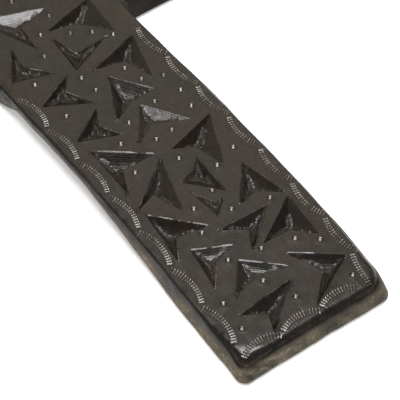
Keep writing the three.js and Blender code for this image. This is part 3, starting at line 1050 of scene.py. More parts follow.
    def weave(self) -> tuple[np.ndarray, np.ndarray]:
        """Join the points into triangles along the creases.

        Returns:
            Rows of x, y, the border's points first, and rows of three point numbers.
        """
        points = [Vector(point) for point in self.net.points]
        loop = list(range(self.ring_count))
        verts, _, faces, origin, _, _ = delaunay_2d_cdt(points, self.creases, [loop], 1, 1e-7)
        order = sorted(range(len(verts)), key=lambda i: min(origin[i]) if origin[i] else len(points) + i)
        rank = {old: new for new, old in enumerate(order)}
        xy = np.array([verts[old][:] for old in order])
        triangles = np.array([[rank[i] for i in face] for face in faces if len(face) == 3])
        return xy, triangles


class NodePen:
    """Adds and joins the nodes of one node tree."""

    def __init__(self, tree: bpy.types.NodeTree) -> None:
        """Start drawing in a tree."""
        self.tree = tree

    def add(self, kind: str, inputs: dict | None = None, **settings: object) -> bpy.types.Node:
        """Add a node.

        Args:
            kind: The node's type name.
            inputs: A value or an output socket for each named or numbered input.
            **settings: The node's own settings.

        Returns:
            The new node.
        """
        node = self.tree.nodes.new(kind)
        for name, value in settings.items():
            setattr(node, name, value)
        for key, value in (inputs or {}).items():
            if isinstance(value, bpy.types.NodeSocket):
                self.tree.links.new(value, node.inputs[key])
            else:
                node.inputs[key].default_value = value
        return node

    def math(self, operation: str, *values: object) -> bpy.types.NodeSocket:
        """Return the result of a sum on one, two or three values."""
        node = self.add("ShaderNodeMath", dict(enumerate(values)), operation=operation)
        return node.outputs[0]

    def vector(self, operation: str, *values: object) -> bpy.types.NodeSocket:
        """Return the result of a vector sum, a number where the sum gives one."""
        node = self.add("ShaderNodeVectorMath", dict(enumerate(values)), operation=operation)
        return node.outputs["Value" if operation in ("DOT_PRODUCT", "LENGTH") else "Vector"]

    def ramp(self, value: object, low: object, high: object) -> bpy.types.NodeSocket:
        """Return a smooth step of a value from 0 at low to 1 at high."""
        given = {"Value": value, "From Min": low, "From Max": high}
        return self.add("ShaderNodeMapRange", given, interpolation_type="SMOOTHSTEP").outputs["Result"]

    def mix(self, share: object, first: object, second: object) -> bpy.types.NodeSocket:
        """Return a colour between two, the second one's share of it given."""
        given = {"Factor": share, 6: first, 7: second}
        return self.add("ShaderNodeMix", given, data_type="RGBA").outputs[2]


class MarkPress:
    """A Geometry Nodes tree that presses ribs and dimples into the clay and gives it its finishes."""

    GROOVE_SHARE = 0.72
    INPUTS = (
        ("Ribs", "NodeSocketObject"),
        ("Rib half length", "NodeSocketFloat"),
        ("Rib half width", "NodeSocketFloat"),
        ("Rib depth", "NodeSocketFloat"),
        ("Dimples", "NodeSocketObject"),
        ("Dimple radius", "NodeSocketFloat"),
        ("Dimple depth", "NodeSocketFloat"),
        ("Dimple rim", "NodeSocketFloat"),
        ("Face depth", "NodeSocketFloat"),
        *((name, "NodeSocketMaterial") for name in CLAY_INPUTS),
    )

    def __init__(self) -> None:
        """Build the tree."""
        self.tree = bpy.data.node_groups.new("press_marks", "GeometryNodeTree")
        face = self.tree.interface
        face.new_socket("Clay", in_out="INPUT", socket_type="NodeSocketGeometry")
        for name, kind in self.INPUTS:
            face.new_socket(name, in_out="INPUT", socket_type=kind)
        face.new_socket("Clay", in_out="OUTPUT", socket_type="NodeSocketGeometry")
        self.pen = NodePen(self.tree)
        self.given = self.pen.add("NodeGroupInput").outputs
        self._build()

    def _nearest(self, marks: bpy.types.NodeSocket) -> tuple[bpy.types.NodeSocket, ...]:
        """Find the nearest mark.

        Args:
            marks: The socket of the object whose points are the marks.

        Returns:
            The offset from the mark in the face's plane, the mark's axis and its size.
        """
        pen = self.pen
        cloud = pen.add("GeometryNodeObjectInfo", {"Object": marks}, transform_space="RELATIVE")
        cloud = cloud.outputs["Geometry"]
        place = pen.add("GeometryNodeInputPosition").outputs[0]
        index = pen.add("GeometryNodeSampleNearest", {"Geometry": cloud, "Sample Position": place})
        found = []
        for name, kind in (("", "FLOAT_VECTOR"), ("axis", "FLOAT_VECTOR"), ("size", "FLOAT")):
            if name:
                source = pen.add("GeometryNodeInputNamedAttribute", {"Name": name}, data_type=kind)
                source = source.outputs["Attribute"]
            else:
                source = pen.add("GeometryNodeInputPosition").outputs[0]
            sample = pen.add(
                "GeometryNodeSampleIndex",
                {"Geometry": cloud, "Value": source, "Index": index.outputs["Index"]},
                data_type=kind,
            )
            found.append(sample.outputs["Value"])
        offset = pen.vector("MULTIPLY", pen.vector("SUBTRACT", place, found[0]), (1.0, 0.0, 1.0))
        return offset, found[1], found[2]

    def _rib(self) -> bpy.types.NodeSocket:
        """Press in the nearest rib, deepest near its two ends.

        Returns:
            How far it is pressed in, from 0 to 1.
        """
        pen, given = self.pen, self.given
        offset, axis, size = self._nearest(given["Ribs"])
        half_length, half_width = given["Rib half length"], given["Rib half width"]
        along = pen.math("ABSOLUTE", pen.vector("DOT_PRODUCT", offset, axis))
        squares = pen.vector("DOT_PRODUCT", offset, offset)
        aside = pen.math("SQRT", pen.math("SUBTRACT", squares, pen.math("MULTIPLY", along, along)))
        from_end = pen.math("SUBTRACT", along, pen.math("SUBTRACT", half_length, half_width))
        squares = pen.math("MULTIPLY_ADD", from_end, from_end, pen.math("MULTIPLY", aside, aside))
        dots = pen.ramp(pen.math("SQRT", squares), half_width, 0.0)
        ends = pen.ramp(along, half_length, pen.math("MULTIPLY", half_length, 0.5))
        groove = pen.math("MULTIPLY", ends, pen.ramp(aside, half_width, 0.0))
        groove = pen.math("MULTIPLY", groove, self.GROOVE_SHARE)
        return pen.math("MULTIPLY", pen.math("MAXIMUM", dots, groove), size)

    def _dimple(self) -> tuple[bpy.types.NodeSocket, bpy.types.NodeSocket]:
        """Press in the nearest dimple.

        Returns:
            How far it is pressed in and how far its rim stands up, from 0 to 1.
        """
        pen, given = self.pen, self.given
        offset, _, size = self._nearest(given["Dimples"])
        share = pen.math("DIVIDE", pen.vector("LENGTH", offset), given["Dimple radius"])
        hollow = pen.math("MULTIPLY", pen.ramp(share, 1.05, 0.0), size)
        rim = pen.math("MULTIPLY", pen.ramp(share, 0.85, 1.15), pen.ramp(share, 1.6, 1.15))
        return hollow, rim

    def _build(self) -> None:
        """Join the stages: ribs, dimples, then the finishes."""
        pen, given = self.pen, self.given
        height = pen.add("ShaderNodeSeparateXYZ", {0: pen.add("GeometryNodeInputPosition").outputs[0]})
        on_face = pen.math("LESS_THAN", height.outputs["Y"], given["Face depth"])
        rib = pen.math("MULTIPLY", self._rib(), on_face)
        hollow, rim = self._dimple()
        hollow = pen.math("MULTIPLY", hollow, on_face)
        rim = pen.math("MULTIPLY", rim, on_face)
        press = pen.math("MULTIPLY", rib, given["Rib depth"])
        press = pen.math("ADD", press, pen.math("MULTIPLY", hollow, given["Dimple depth"]))
        press = pen.math("SUBTRACT", press, pen.math("MULTIPLY", rim, given["Dimple rim"]))
        # The pressed amount is kept so that the clay's materials can paint a highlight into the marks
        # from it.
        kept = pen.add(
            "GeometryNodeStoreNamedAttribute",
            {"Geometry": given["Clay"], "Name": "pressed", "Value": pen.math("MAXIMUM", rib, hollow)},
            data_type="FLOAT",
            domain="POINT",
        )
        offset = pen.add("ShaderNodeCombineXYZ", {"Y": press}).outputs[0]
        moved = pen.add("GeometryNodeSetPosition", {"Geometry": kept.outputs[0], "Offset": offset})
        skin = pen.add("GeometryNodeRealizeInstances", {0: moved.outputs[0]}).outputs[0]
        named = pen.add("GeometryNodeInputNamedAttribute", {"Name": "finish"}, data_type="INT")
        for finish, name in zip(Finish, CLAY_INPUTS):
            chosen = pen.add("FunctionNodeCompare", data_type="INT", operation="EQUAL")
            self.tree.links.new(named.outputs["Attribute"], chosen.inputs[2])
            chosen.inputs[3].default_value = finish.value
            skin = pen.add(
                "GeometryNodeSetMaterial",
                {"Geometry": skin, "Selection": chosen.outputs[0], "Material": given[name]},
            ).outputs[0]
        pen.add("NodeGroupOutput", {0: skin})

    def apply(self, skin: bpy.types.Object, values: dict[str, object]) -> bpy.types.Mesh:
        """Press the marks into a skin.

        Args:
            skin: The object to press.
            values: What goes into each named input of the tree.

        Returns:
            A plain mesh of the pressed skin.
        """
        modifier = skin.modifiers.new("press_marks", "NODES")
        modifier.node_group = self.tree
        for item in self.tree.interface.items_tree:
            if item.in_out == "INPUT" and item.name in values:
                modifier[item.identifier] = values[item.name]
        graph = bpy.context.evaluated_depsgraph_get()
        pressed = skin.evaluated_get(graph)
        mesh = bpy.data.meshes.new_from_object(pressed, preserve_all_data_layers=True, depsgraph=graph)
        skin.modifiers.remove(modifier)
        return mesh


class ClayEffects:
    """The shader node groups that the clay's finishes share."""

    def __init__(self) -> None:
        """Build the groups."""
        self.tone = self._tone()
        self.grain = self._grain()
        self.streaks = self._streaks()

    @staticmethod
    def _group(
        name: str, inputs: Sequence[tuple], outputs: Sequence[tuple]
    ) -> tuple[NodePen, bpy.types.NodeOutputs, bpy.types.Node]:
        """Start a group.

        Args:
            name: The group's name.
            inputs: Name, socket type and first value of each input.
            outputs: Name and socket type of each output.

        Returns:
            A pen for the group, the sockets of its inputs and its output node.
        """
        tree = bpy.data.node_groups.new(name, "ShaderNodeTree")
        for label, kind, value in inputs:
            socket = tree.interface.new_socket(label, in_out="INPUT", socket_type=kind)
            socket.default_value = value
        for label, kind in outputs:
            tree.interface.new_socket(label, in_out="OUTPUT", socket_type=kind)
        pen = NodePen(tree)
        given = pen.add("NodeGroupInput").outputs
        return pen, given, pen.add("NodeGroupOutput")

    def _tone(self) -> bpy.types.NodeTree:
        """Build the smoked clay's colour, mottled warm and cool, with pale dust specks and a painted
        highlight of the same pale colour in its pressed hollows.

        Returns:
            The node group.
        """
        pen, given, out = self._group(
            "smoked_clay_tone",
            [
                ("Warm", "NodeSocketColor", (0.03, 0.026, 0.023, 1.0)),
                ("Cool", "NodeSocketColor", (0.026, 0.027, 0.026, 1.0)),
                # Pale colour of dust, also used as the painted highlight in the pressed marks.
                ("Dust", "NodeSocketColor", (0.1, 0.09, 0.07, 1.0)),
                ("Patch scale", "NodeSocketFloat", 60.0),
                ("Dusting", "NodeSocketFloat", 0.2),
                # Share of the pale colour: a painted highlight in pressed marks, and thick dust on dusty
                # clay, whichever is more.
                ("Residue", "NodeSocketFloat", 0.0),
            ],
            [("Color", "NodeSocketColor")],
        )
        place = pen.add("ShaderNodeTexCoord").outputs["Object"]
        patches = pen.add(
            "ShaderNodeTexNoise",
            {"Vector": place, "Scale": given["Patch scale"], "Detail": 3.0, "Roughness": 0.55},
        )
        mottled = pen.mix(pen.ramp(patches.outputs["Fac"], 0.38, 0.62), given["Warm"], given["Cool"])
        specks = pen.add("ShaderNodeTexNoise", {"Vector": place, "Scale": 900.0, "Detail": 2.0})
        speckled = pen.math("MULTIPLY", pen.ramp(specks.outputs["Fac"], 0.42, 0.7), given["Dusting"])
        # The pale colour is dust in the specks and dusty places, and a painted highlight in the pressed
        # marks.
        dusted = pen.mix(pen.math("MAXIMUM", speckled, given["Residue"]), mottled, given["Dust"])
        pen.tree.links.new(dusted, out.inputs["Color"])
        return pen.tree

    def _grain(self) -> bpy.types.NodeTree:
        """Build the fine grain of the clay as a height and a roughness change.

        Returns:
            The node group.
        """
        pen, given, out = self._group(
            "clay_grain",
            [("Scale", "NodeSocketFloat", 1500.0), ("Lumps", "NodeSocketFloat", 250.0)],
            [("Height", "NodeSocketFloat"), ("Variation", "NodeSocketFloat")],
        )
        place = pen.add("ShaderNodeTexCoord").outputs["Object"]
        fine = pen.add("ShaderNodeTexNoise", {"Vector": place, "Scale": given["Scale"], "Detail": 3.0})
        lumps = pen.add("ShaderNodeTexNoise", {"Vector": place, "Scale": given["Lumps"], "Detail": 2.0})
        height = pen.math("MULTIPLY_ADD", lumps.outputs["Fac"], 4.0, fine.outputs["Fac"])
        pen.tree.links.new(height, out.inputs["Height"])
        pen.tree.links.new(pen.math("SUBTRACT", lumps.outputs["Fac"], 0.5), out.inputs["Variation"])
        return pen.tree

    def _streaks(self) -> bpy.types.NodeTree:
        """Build the streaks that a burnishing stone or a blade leaves along its path.

        Returns:
            The node group.
        """
        pen, given, out = self._group(
            "tool_streaks",
            [("Along", "NodeSocketFloat", 40.0), ("Across", "NodeSocketFloat", 1400.0)],
            [("Height", "NodeSocketFloat")],
        )
        path = pen.add("ShaderNodeUVMap", uv_map="tool_path").outputs[0]
        scale = pen.add("ShaderNodeCombineXYZ", {"X": given["Along"], "Y": given["Across"], "Z": 1.0})
        stretched = pen.vector("MULTIPLY", path, scale.outputs[0])
        streak = pen.add("ShaderNodeTexNoise", {"Vector": stretched, "Scale": 1.0, "Detail": 3.0})
        pen.tree.links.new(streak.outputs["Fac"], out.inputs["Height"])
        return pen.tree


@dataclass(frozen=True)
class ClayFinish:
    """One finish of the black clay."""

    name: str
    warm: tuple[float, float, float] = (0.0115, 0.0072, 0.0048)
    cool: tuple[float, float, float] = (0.0068, 0.0062, 0.0048)
    # Pale colour: dust, and also the painted highlight in the pressed marks.
    dust_and_highlight: tuple[float, float, float] = (0.20, 0.17, 0.12)
    raw: tuple[float, float, float] = (0.034, 0.026, 0.0165)
    dusting: float = 0.02
    # Share of the pale colour painted into the pressed marks as a highlight.
    pressed_highlight: float = 0.5
    evenness: float = 0.5
    polish: float = 0.14
    gloss: float = 0.5
    roughness: float = 0.30
    raw_roughness: float = 0.4
    patchiness: float = 0.12
    patch_scale: float = 60.0
    torn_dust: float = 0.12
    torn_grain: float = 8.0
    grain_scale: float = 1500.0
    grain_height: float = 0.00002
    streak_height: float = 0.00003
    streak_along: float = 40.0
    streak_across: float = 1200.0

    def material(self, effects: ClayEffects) -> bpy.types.Material:
        """Build the finish's material.

        Args:
            effects: The shared node groups.

        Returns:
            The new material.
        """
        made = bpy.data.materials.new(self.name)
        made.use_nodes = True
        made.node_tree.nodes.clear()
        pen = NodePen(made.node_tree)
        pressed, torn, dusty = (
            pen.add("ShaderNodeAttribute", attribute_name=name).outputs["Fac"]
            for name in ("pressed", "torn", "dusty")
        )
        dusting = pen.math("MULTIPLY_ADD", torn, self.torn_dust, dusty)
        # Painted highlight: the pressed ribs and dimples get the pale colour where they are pressed
        # deep.
        pressed_highlight = pen.math("MULTIPLY", pen.ramp(pressed, 0.35, 0.9), self.pressed_highlight)
        shades = {"Warm": (*self.warm, 1.0), "Cool": (*self.cool, 1.0), "Dust": (*self.dust_and_highlight, 1.0)}
        masks = {
            "Patch scale": self.patch_scale,
            "Dusting": pen.math("ADD", dusting, self.dusting),
            "Residue": pen.math("MAXIMUM", pressed_highlight, pen.math("MULTIPLY", dusty, self.evenness)),
        }
        tone = pen.add("ShaderNodeGroup", shades | masks, node_tree=effects.tone)
        grain = pen.add("ShaderNodeGroup", {"Scale": self.grain_scale}, node_tree=effects.grain)
        path = {"Along": self.streak_along, "Across": self.streak_across}
        streaks = pen.add("ShaderNodeGroup", path, node_tree=effects.streaks)
        colour = pen.mix(torn, tone.outputs["Color"], (*self.raw, 1.0))
        patch = pen.math("MULTIPLY_ADD", grain.outputs["Variation"], self.patchiness * 2, self.roughness)
        spread = pen.math("SUBTRACT", self.raw_roughness, patch)
        dull = pen.math("MINIMUM", pen.math("MULTIPLY_ADD", dusty, 1.5, torn), 1.0)
        roughness = pen.math("MULTIPLY_ADD", dull, spread, patch)
        roughness = pen.math("MULTIPLY_ADD", pressed, -self.polish, roughness)
        height = pen.math("MULTIPLY", streaks.outputs["Height"], self.streak_height)
        coarse = pen.math("MULTIPLY_ADD", torn, self.torn_grain * self.grain_height, self.grain_height)
        height = pen.math("MULTIPLY_ADD", grain.outputs["Height"], coarse, height)
        bump = pen.add("ShaderNodeBump", {"Height": height, "Distance": 1.0, "Strength": 1.0})
        given = {"Base Color": colour, "Roughness": roughness, "Normal": bump.outputs[0]}
        shader = pen.add("ShaderNodeBsdfPrincipled", given)
        shader.inputs["Specular IOR Level"].default_value = self.gloss
        pen.add("ShaderNodeOutputMaterial", {"Surface": shader.outputs[0]})
        return made


@dataclass
class CrossBody:
    """The whole cross: one slab of fired clay with its carving and its nail recess."""

    EDGE_TURNS = (70.0, 80.0, 90.0)
    SIDE_SHARES = (0.2, 0.4, 0.6, 0.8, 1.0)
    BACK_TURNS = (12.0, 24.0, 36.0, 48.0, 60.0, 75.0, 90.0)
    LUMP_SIZES = (5.0, 2.4)
    LUMP_SLIDE = (1.3, 0.7)
    LUMP_SEEDS = (1.3, 8.9)

    slab: Slab = field(default_factory=Slab)
    marks: MarkSizes = field(default_factory=MarkSizes)
    border_turn: float = 60.0
    nail_radius: float = 4.5
    nail_depth: float = 6.0
    nail_sides: int = 32
    mouth_flare: float = 0.6
    back_margin: float = 5.0
    back_pitch: float = 5.0
    recess_gap: float = 3.0
    sharp_degrees: float = 20.0
    side_lumps: float = 0.16
    foot_dust: float = 1.2
    foot_spared: float = 0.58
    flank_dust: float = 0.85
    dusty_height: float = 12.6
    dusty_slant: float = 1.5
    dusty_fade: float = 5.4
    rubbed_dust: float = 0.1
    rubbed_width: float = 3.2
    seed: int = 4

    def __post_init__(self) -> None:
        """Lay out the carving."""
        self.carving = Carving(self.slab, self.marks)

    def _face(self) -> tuple[np.ndarray, np.ndarray, np.ndarray, int]:
        """Weave the carved face.

        Returns:
            Its points in the drawing frame, how torn each is, its triangles and the size of its border.
        """
        border = 1.0 - math.sin(math.radians(self.border_turn))
        layout = FaceLayout(self.slab, self.carving, border)
        layout.lay_border()
        layout.lay_chips()
        layout.lay_marks()
        layout.lay_lips()
        layout.lay_edge_rounding()
        layout.lay_torn()
        layout.lay_chip_walls()
        layout.lay_ground()
        xy, triangles = layout.weave()
        depth, torn = self.carving.relief(xy)
        height = self.slab.face_height(xy) - depth
        return np.column_stack([xy, height]), torn, triangles, layout.ring_count

    def _face_finish(self, chip: int, facet: int) -> Finish:
        """Choose the finish of a spot on the face.

        Args:
            chip: Number of the chip there, or -1.
            facet: Number of the facet there.

        Returns:
            The finish.
        """
        if chip < 0:
            return Finish.BURNISHED
        return Finish.NOTCH if facet in self.carving.chips[chip].notch_walls() else Finish.CUT

    def _side_rings(self) -> list[np.ndarray]:
        """Draw the loops from just below the face's border down to the back.

        Returns:
            Rows of x, y, z for each loop.
        """
        slab = self.slab
        coarse, fine = self.LUMP_SIZES
        rings = []

        def lay(edge: float, tuck: float, z: np.ndarray) -> None:
            """Add one loop.

            Args:
                edge: Distance inward, as a share of the face edge's rounding.
                tuck: Distance inward, as a share of the back edge's rounding.
                z: Height of each of its points above the back.
            """
            ring = slab.ring(0.0, tuck, float(z[0] / border[0]), edge)
            lift = slab.unevenness_at(ring) * z / slab.thickness
            slid = ring + np.column_stack([share * z for share in self.LUMP_SLIDE])
            lumps = np.column_stack([
                clay_noise(slid, coarse, seed) + 0.5 * clay_noise(slid, fine, seed)
                for seed in self.LUMP_SEEDS
            ])
            bulge = self.side_lumps * fade((slab.thickness - z) / 3.0) * fade(z / 1.5)
            rings.append(np.column_stack([ring + lumps * bulge[:, None], z + lift]))

        heights = slab.ring(0.0)[:, 1]
        rounding, base = slab.face_radius(heights), slab.back_radius(heights)
        border = slab.thickness - rounding * (1 - math.cos(math.radians(self.border_turn)))
        for turn in map(math.radians, self.EDGE_TURNS):
            lay(1 - math.sin(turn), 0.0, slab.thickness - rounding * (1 - math.cos(turn)))
        top = slab.thickness - rounding
        for share in self.SIDE_SHARES:
            lay(0.0, 0.0, top + (base - top) * share)
        for turn in map(math.radians, self.BACK_TURNS):
            lay(0.0, 1 - math.cos(turn), base * (1 - math.sin(turn)))
        return rings

    def _recess_rings(self) -> list[np.ndarray]:
        """Draw the loops of the nail recess from its mouth to its floor.

        Returns:
            Rows of x, y, z for each loop.
        """
        radius, depth = self.nail_radius, self.nail_depth
        profile = [
            (radius + self.mouth_flare, 0.0), (radius + 0.15, 0.12), (radius, 0.5),
            (radius, 0.5 * depth), (radius, depth - 0.6), (radius - 0.2, depth - 0.15),
            (radius - 0.8, depth), (0.5 * radius, depth),
        ]
        turns = math.tau * np.arange(self.nail_sides) / self.nail_sides
        rings = []
        for reach, z in profile:
            ring = circle(turns) * reach + np.array([0.0, NAIL_HEIGHT])
            rings.append(np.column_stack([ring, np.full(len(ring), z)]))
        return rings

    def _back(self, outer: np.ndarray, inner: np.ndarray) -> tuple[np.ndarray, list[tuple[int, ...]]]:
        """Weave the flat back between its outline and the recess's mouth.

        Args:
            outer: Rows of x, y of the back's outline.
            inner: Rows of x, y of the recess's mouth.

        Returns:
            Rows of x, y, both loops first, and triples of point numbers.
        """
        grid = []
        slab, gap, pitch = self.slab, self.back_margin, self.back_pitch
        reach = slab.span / 2 - gap
        low, high = slab.crossbar_foot + gap, slab.crossbar_foot + slab.arm_width - gap
        for y in np.arange(4.0, slab.height, pitch):
            for x in np.arange(-reach, reach + 1.0, pitch):
                upright = abs(x - float(slab.lean(np.array(y)))) < slab.arm_width / 2 - gap
                if (upright and y < slab.height - gap) or (low < y < high and abs(x) < reach):
                    if math.hypot(x, y - NAIL_HEIGHT) > self.nail_radius + self.recess_gap:
                        grid.append((x, y))
        points = [Vector(p) for p in (*outer, *inner, *grid)]
        outer_loop = list(range(len(outer)))
        inner_loop = list(range(len(outer), len(outer) + len(inner)))
        pairs = list(zip(inner_loop, onward(inner_loop)))
        _, _, faces, origin, _, _ = delaunay_2d_cdt(points, pairs, [outer_loop], 1, 1e-7)
        number = [min(source) for source in origin]
        xy = np.array([point[:] for point in points])
        mouth = self.nail_radius + self.mouth_flare - 0.02
        triples = []
        for face in faces:
            corners = [number[i] for i in face]
            centre = xy[corners].mean(axis=0)
            if math.hypot(centre[0], centre[1] - NAIL_HEIGHT) > mouth:
                triples.append(tuple(corners))
        return xy, triples

    def skin(self) -> bpy.types.Object:
        """Build the closed skin of the cross before its marks are pressed.

        Returns:
            The skin with its finish numbers, its tool paths and its torn places.
        """
        face, torn, triangles, count = self._face()
        LOG.info("face woven: %d points, %d triangles", len(face), len(triangles))
        points = [face]
        faces = [tuple(row) for row in triangles]
        chip_number, facet_number = self.carving.chip_at(face[triangles].mean(axis=1)[:, :2])
        finishes = [self._face_finish(*pair).value for pair in zip(chip_number, facet_number)]
        upper = list(range(count))
        size = len(face)
        for ring in self._side_rings():
            lower = list(range(size, size + count))
            points.append(ring)
            size += count
            faces.extend(zip(upper, lower, onward(lower), onward(upper)))
            finishes.extend([Finish.SIDE.value] * count)
            upper = lower
        recess = self._recess_rings()
        back, triples = self._back(points[-1][:, :2], recess[0][:, :2])
        extra = back[count:]
        numbers = upper + list(range(size, size + len(extra)))
        points.append(np.column_stack([extra, np.zeros(len(extra))]))
        size += len(extra)
        faces.extend(tuple(numbers[i] for i in reversed(triple)) for triple in triples)
        finishes.extend([Finish.BACK.value] * len(triples))
        sides = self.nail_sides
        mouth = numbers[count : count + sides]
        for ring in recess[1:]:
            deeper = list(range(size, size + sides))
            points.append(ring)
            size += sides
            faces.extend(zip(mouth, onward(mouth), onward(deeper), deeper))
            finishes.extend([Finish.BACK.value] * sides)
            mouth = deeper
        points.append(np.array([[0.0, NAIL_HEIGHT, self.nail_depth]]))
        faces.extend((here, there, size) for here, there in zip(mouth, onward(mouth)))
        finishes.extend([Finish.BACK.value] * sides)
        drawn = np.concatenate(points)
        mesh = bpy.data.meshes.new("cross_skin")
        mesh.from_pydata(to_scene(drawn).tolist(), [], faces)
        self._store(mesh, "finish", "INT", "FACE", np.array(finishes, dtype=np.int32))
        rough = np.zeros(len(drawn), dtype=np.float32)
        rough[: len(torn)] = torn
        self._store(mesh, "torn", "FLOAT", "POINT", rough)
        self._store(mesh, "dusty", "FLOAT", "POINT", self._dustiness(drawn).astype(np.float32))
        self._tool_paths(mesh, drawn, chip_number, facet_number)
        return bpy.data.objects.new("cross_skin", mesh)

    def _dustiness(self, drawn: np.ndarray) -> np.ndarray:
        """Spread dust over the clay: the raw foot most, then the lower arm's sides and the rubbed
        right-hand edges.

        Args:
            drawn: Rows of x, y, z in the drawing frame.

        Returns:
            How dusty each point is, from 0 to a little over 1.
        """
        slab = self.slab
        x, y, z = drawn[:, 0] - slab.lean(drawn[:, 1]), drawn[:, 1], drawn[:, 2]
        slid = drawn[:, :2] + np.column_stack([0.8 * z, 1.1 * z])
        clouds = 0.8 * clay_noise(slid, 5.5, 4.4) + 0.5 * clay_noise(slid, 2.2, 6.1)
        patches = np.clip(0.55 + clouds, 0.1, 1.3)
        spared = 1.0 - self.foot_spared * fade(0.5 + x / slab.arm_width)
        foot = fade((2.5 - y) / 2.0) * self.foot_dust * spared
        flank = fade(np.abs(x) - slab.arm_width / 2 + 3.0) * self.flank_dust
        flank = flank * fade((slab.crossbar_foot - 6.0 - y) / 8.0)
        top = self.dusty_height + self.dusty_slant * np.clip(x / slab.arm_width, -0.5, 0.5)
        sides = np.maximum(foot, flank) * fade((top - z) / self.dusty_fade) * patches
        across = (y > slab.crossbar_foot) & (y < slab.crossbar_foot + slab.arm_width)
        limit = np.where(across, slab.span, slab.arm_width) / 2
        rubbed = fade(1.0 - (limit - x) / self.rubbed_width) * patches * self.rubbed_dust
        return sides + rubbed

    @staticmethod
    def _store(mesh: bpy.types.Mesh, name: str, kind: str, domain: str, values: np.ndarray) -> None:
        """Keep one value for each point or face of a mesh under a name."""
        mesh.attributes.new(name, kind, domain).data.foreach_set("value", values)

    def _tool_paths(
        self, mesh: bpy.types.Mesh, drawn: np.ndarray, chip_number: np.ndarray, facet_number: np.ndarray
    ) -> None:
        """Map the skin so that its first direction runs along the path of the tool.

        Args:
            mesh: The skin's mesh.
            drawn: Its points in the drawing frame.
            chip_number: The chip of each of the first faces, or -1.
            facet_number: The facet of each of the first faces.
        """
        corners = np.zeros(len(mesh.loops), dtype=np.int32)
        mesh.loops.foreach_get("vertex_index", corners)
        starts = np.zeros(len(mesh.polygons), dtype=np.int32)
        mesh.polygons.foreach_get("loop_start", starts)
        totals = np.zeros(len(mesh.polygons), dtype=np.int32)
        mesh.polygons.foreach_get("loop_total", totals)
        owner = np.repeat(np.arange(len(starts)), totals)
        place = drawn[corners]
        uv = np.column_stack([place[:, 1] + 0.3 * place[:, 2], place[:, 0] + place[:, 2]])
        normals = np.zeros(3 * len(mesh.polygons), dtype=np.float32)
        mesh.polygons.foreach_get("normal", normals)
        facing = np.abs(normals.reshape(-1, 3))[owner]
        upright = facing[:, 1] < np.maximum(facing[:, 0], facing[:, 2])
        sideways = upright & (facing[:, 0] > facing[:, 2]) & (owner >= len(chip_number))
        endways = upright & (facing[:, 0] <= facing[:, 2]) & (owner >= len(chip_number))
        uv[sideways] = place[sideways][:, 1:]
        uv[endways] = place[endways][:, ::2]
        on_chip = np.full(len(starts), -1)
        on_chip[: len(chip_number)] = chip_number
        on_facet = np.zeros(len(starts), dtype=int)
        on_facet[: len(facet_number)] = facet_number
        for number, chip in enumerate(self.carving.chips):
            for index, facet in enumerate(chip.facets()):
                mine = (on_chip[owner] == number) & (on_facet[owner] == index)
                offset = place[mine][:, :2] - facet.start
                depth = -(offset @ facet.outward) * math.hypot(1.0, chip.depth / facet.run)
                along = offset @ facet.along()
                uv[mine] = np.column_stack([along + 7.0 * number, depth + 40.0 * index])
        layer = mesh.uv_layers.new(name="tool_path")
        layer.data.foreach_set("uv", (uv * MM).astype(np.float32).ravel())

    def _marks(self, kind: Mark) -> bpy.types.Object:
        """Place one kind of mark as points on the face.

        Args:
            kind: Which marks to place.

        Returns:
            An object with a point, an axis and a size for each mark.
        """
        dice = random.Random(self.seed)
        if kind is Mark.RIB:
            drawn = self.carving.ribs
        else:
            drawn = [(np.array(dot), np.array([0.0, 1.0])) for dot in self.carving.dimples]
        middles = np.array([np.append(middle, self.slab.thickness) for middle, _ in drawn])
        axes = np.array([(arm[0], 0.0, arm[1]) for _, arm in drawn], dtype=np.float32)
        sizes = np.array([dice.uniform(0.75, 1.1) for _ in drawn], dtype=np.float32)
        mesh = bpy.data.meshes.new(f"{kind.value}_marks")
        mesh.from_pydata(to_scene(middles).tolist(), [], [])
        mesh.attributes.new("axis", "FLOAT_VECTOR", "POINT").data.foreach_set("vector", axes.ravel())
        self._store(mesh, "size", "FLOAT", "POINT", sizes)
        marks = bpy.data.objects.new(mesh.name, mesh)
        bpy.context.scene.collection.objects.link(marks)
        return marks

    def build(self, materials: dict[Finish, bpy.types.Material]) -> bpy.types.Object:
        """Build the finished cross.

        Args:
            materials: The material of each finish.

        Returns:
            The cross as one plain mesh at the origin.
        """
        skin = self.skin()
        bpy.context.scene.collection.objects.link(skin)
        ribs, dimples = self._marks(Mark.RIB), self._marks(Mark.DIMPLE)
        marks = self.marks
        mesh = MarkPress().apply(
            skin,
            {
                "Ribs": ribs,
                "Rib half length": marks.rib_half_length * MM,
                "Rib half width": marks.rib_half_width * MM,
                "Rib depth": marks.rib_depth * MM,
                "Dimples": dimples,
                "Dimple radius": marks.dimple_radius * MM,
                "Dimple depth": marks.dimple_depth * MM,
                "Dimple rim": marks.dimple_rim * MM,
                "Face depth": -0.85 * self.slab.thickness * MM,
                **{name: materials[finish] for finish, name in zip(Finish, CLAY_INPUTS)},
            },
        )
        for helper in (skin, ribs, dimples):
            bpy.data.objects.remove(helper)
        mesh.name = "carved_cross"
        shape = bmesh.new()
        shape.from_mesh(mesh)
        bmesh.ops.triangulate(shape, faces=shape.faces)
        bmesh.ops.recalc_face_normals(shape, faces=shape.faces)
        shape.to_mesh(mesh)
        shape.free()
        mesh.shade_smooth()
        mesh.set_sharp_from_angle(angle=math.radians(self.sharp_degrees))
        cross = bpy.data.objects.new("carved_cross", mesh)
        bpy.context.scene.collection.objects.link(cross)
        LOG.info("carved_cross: %d triangles", len(mesh.polygons))
        return cross


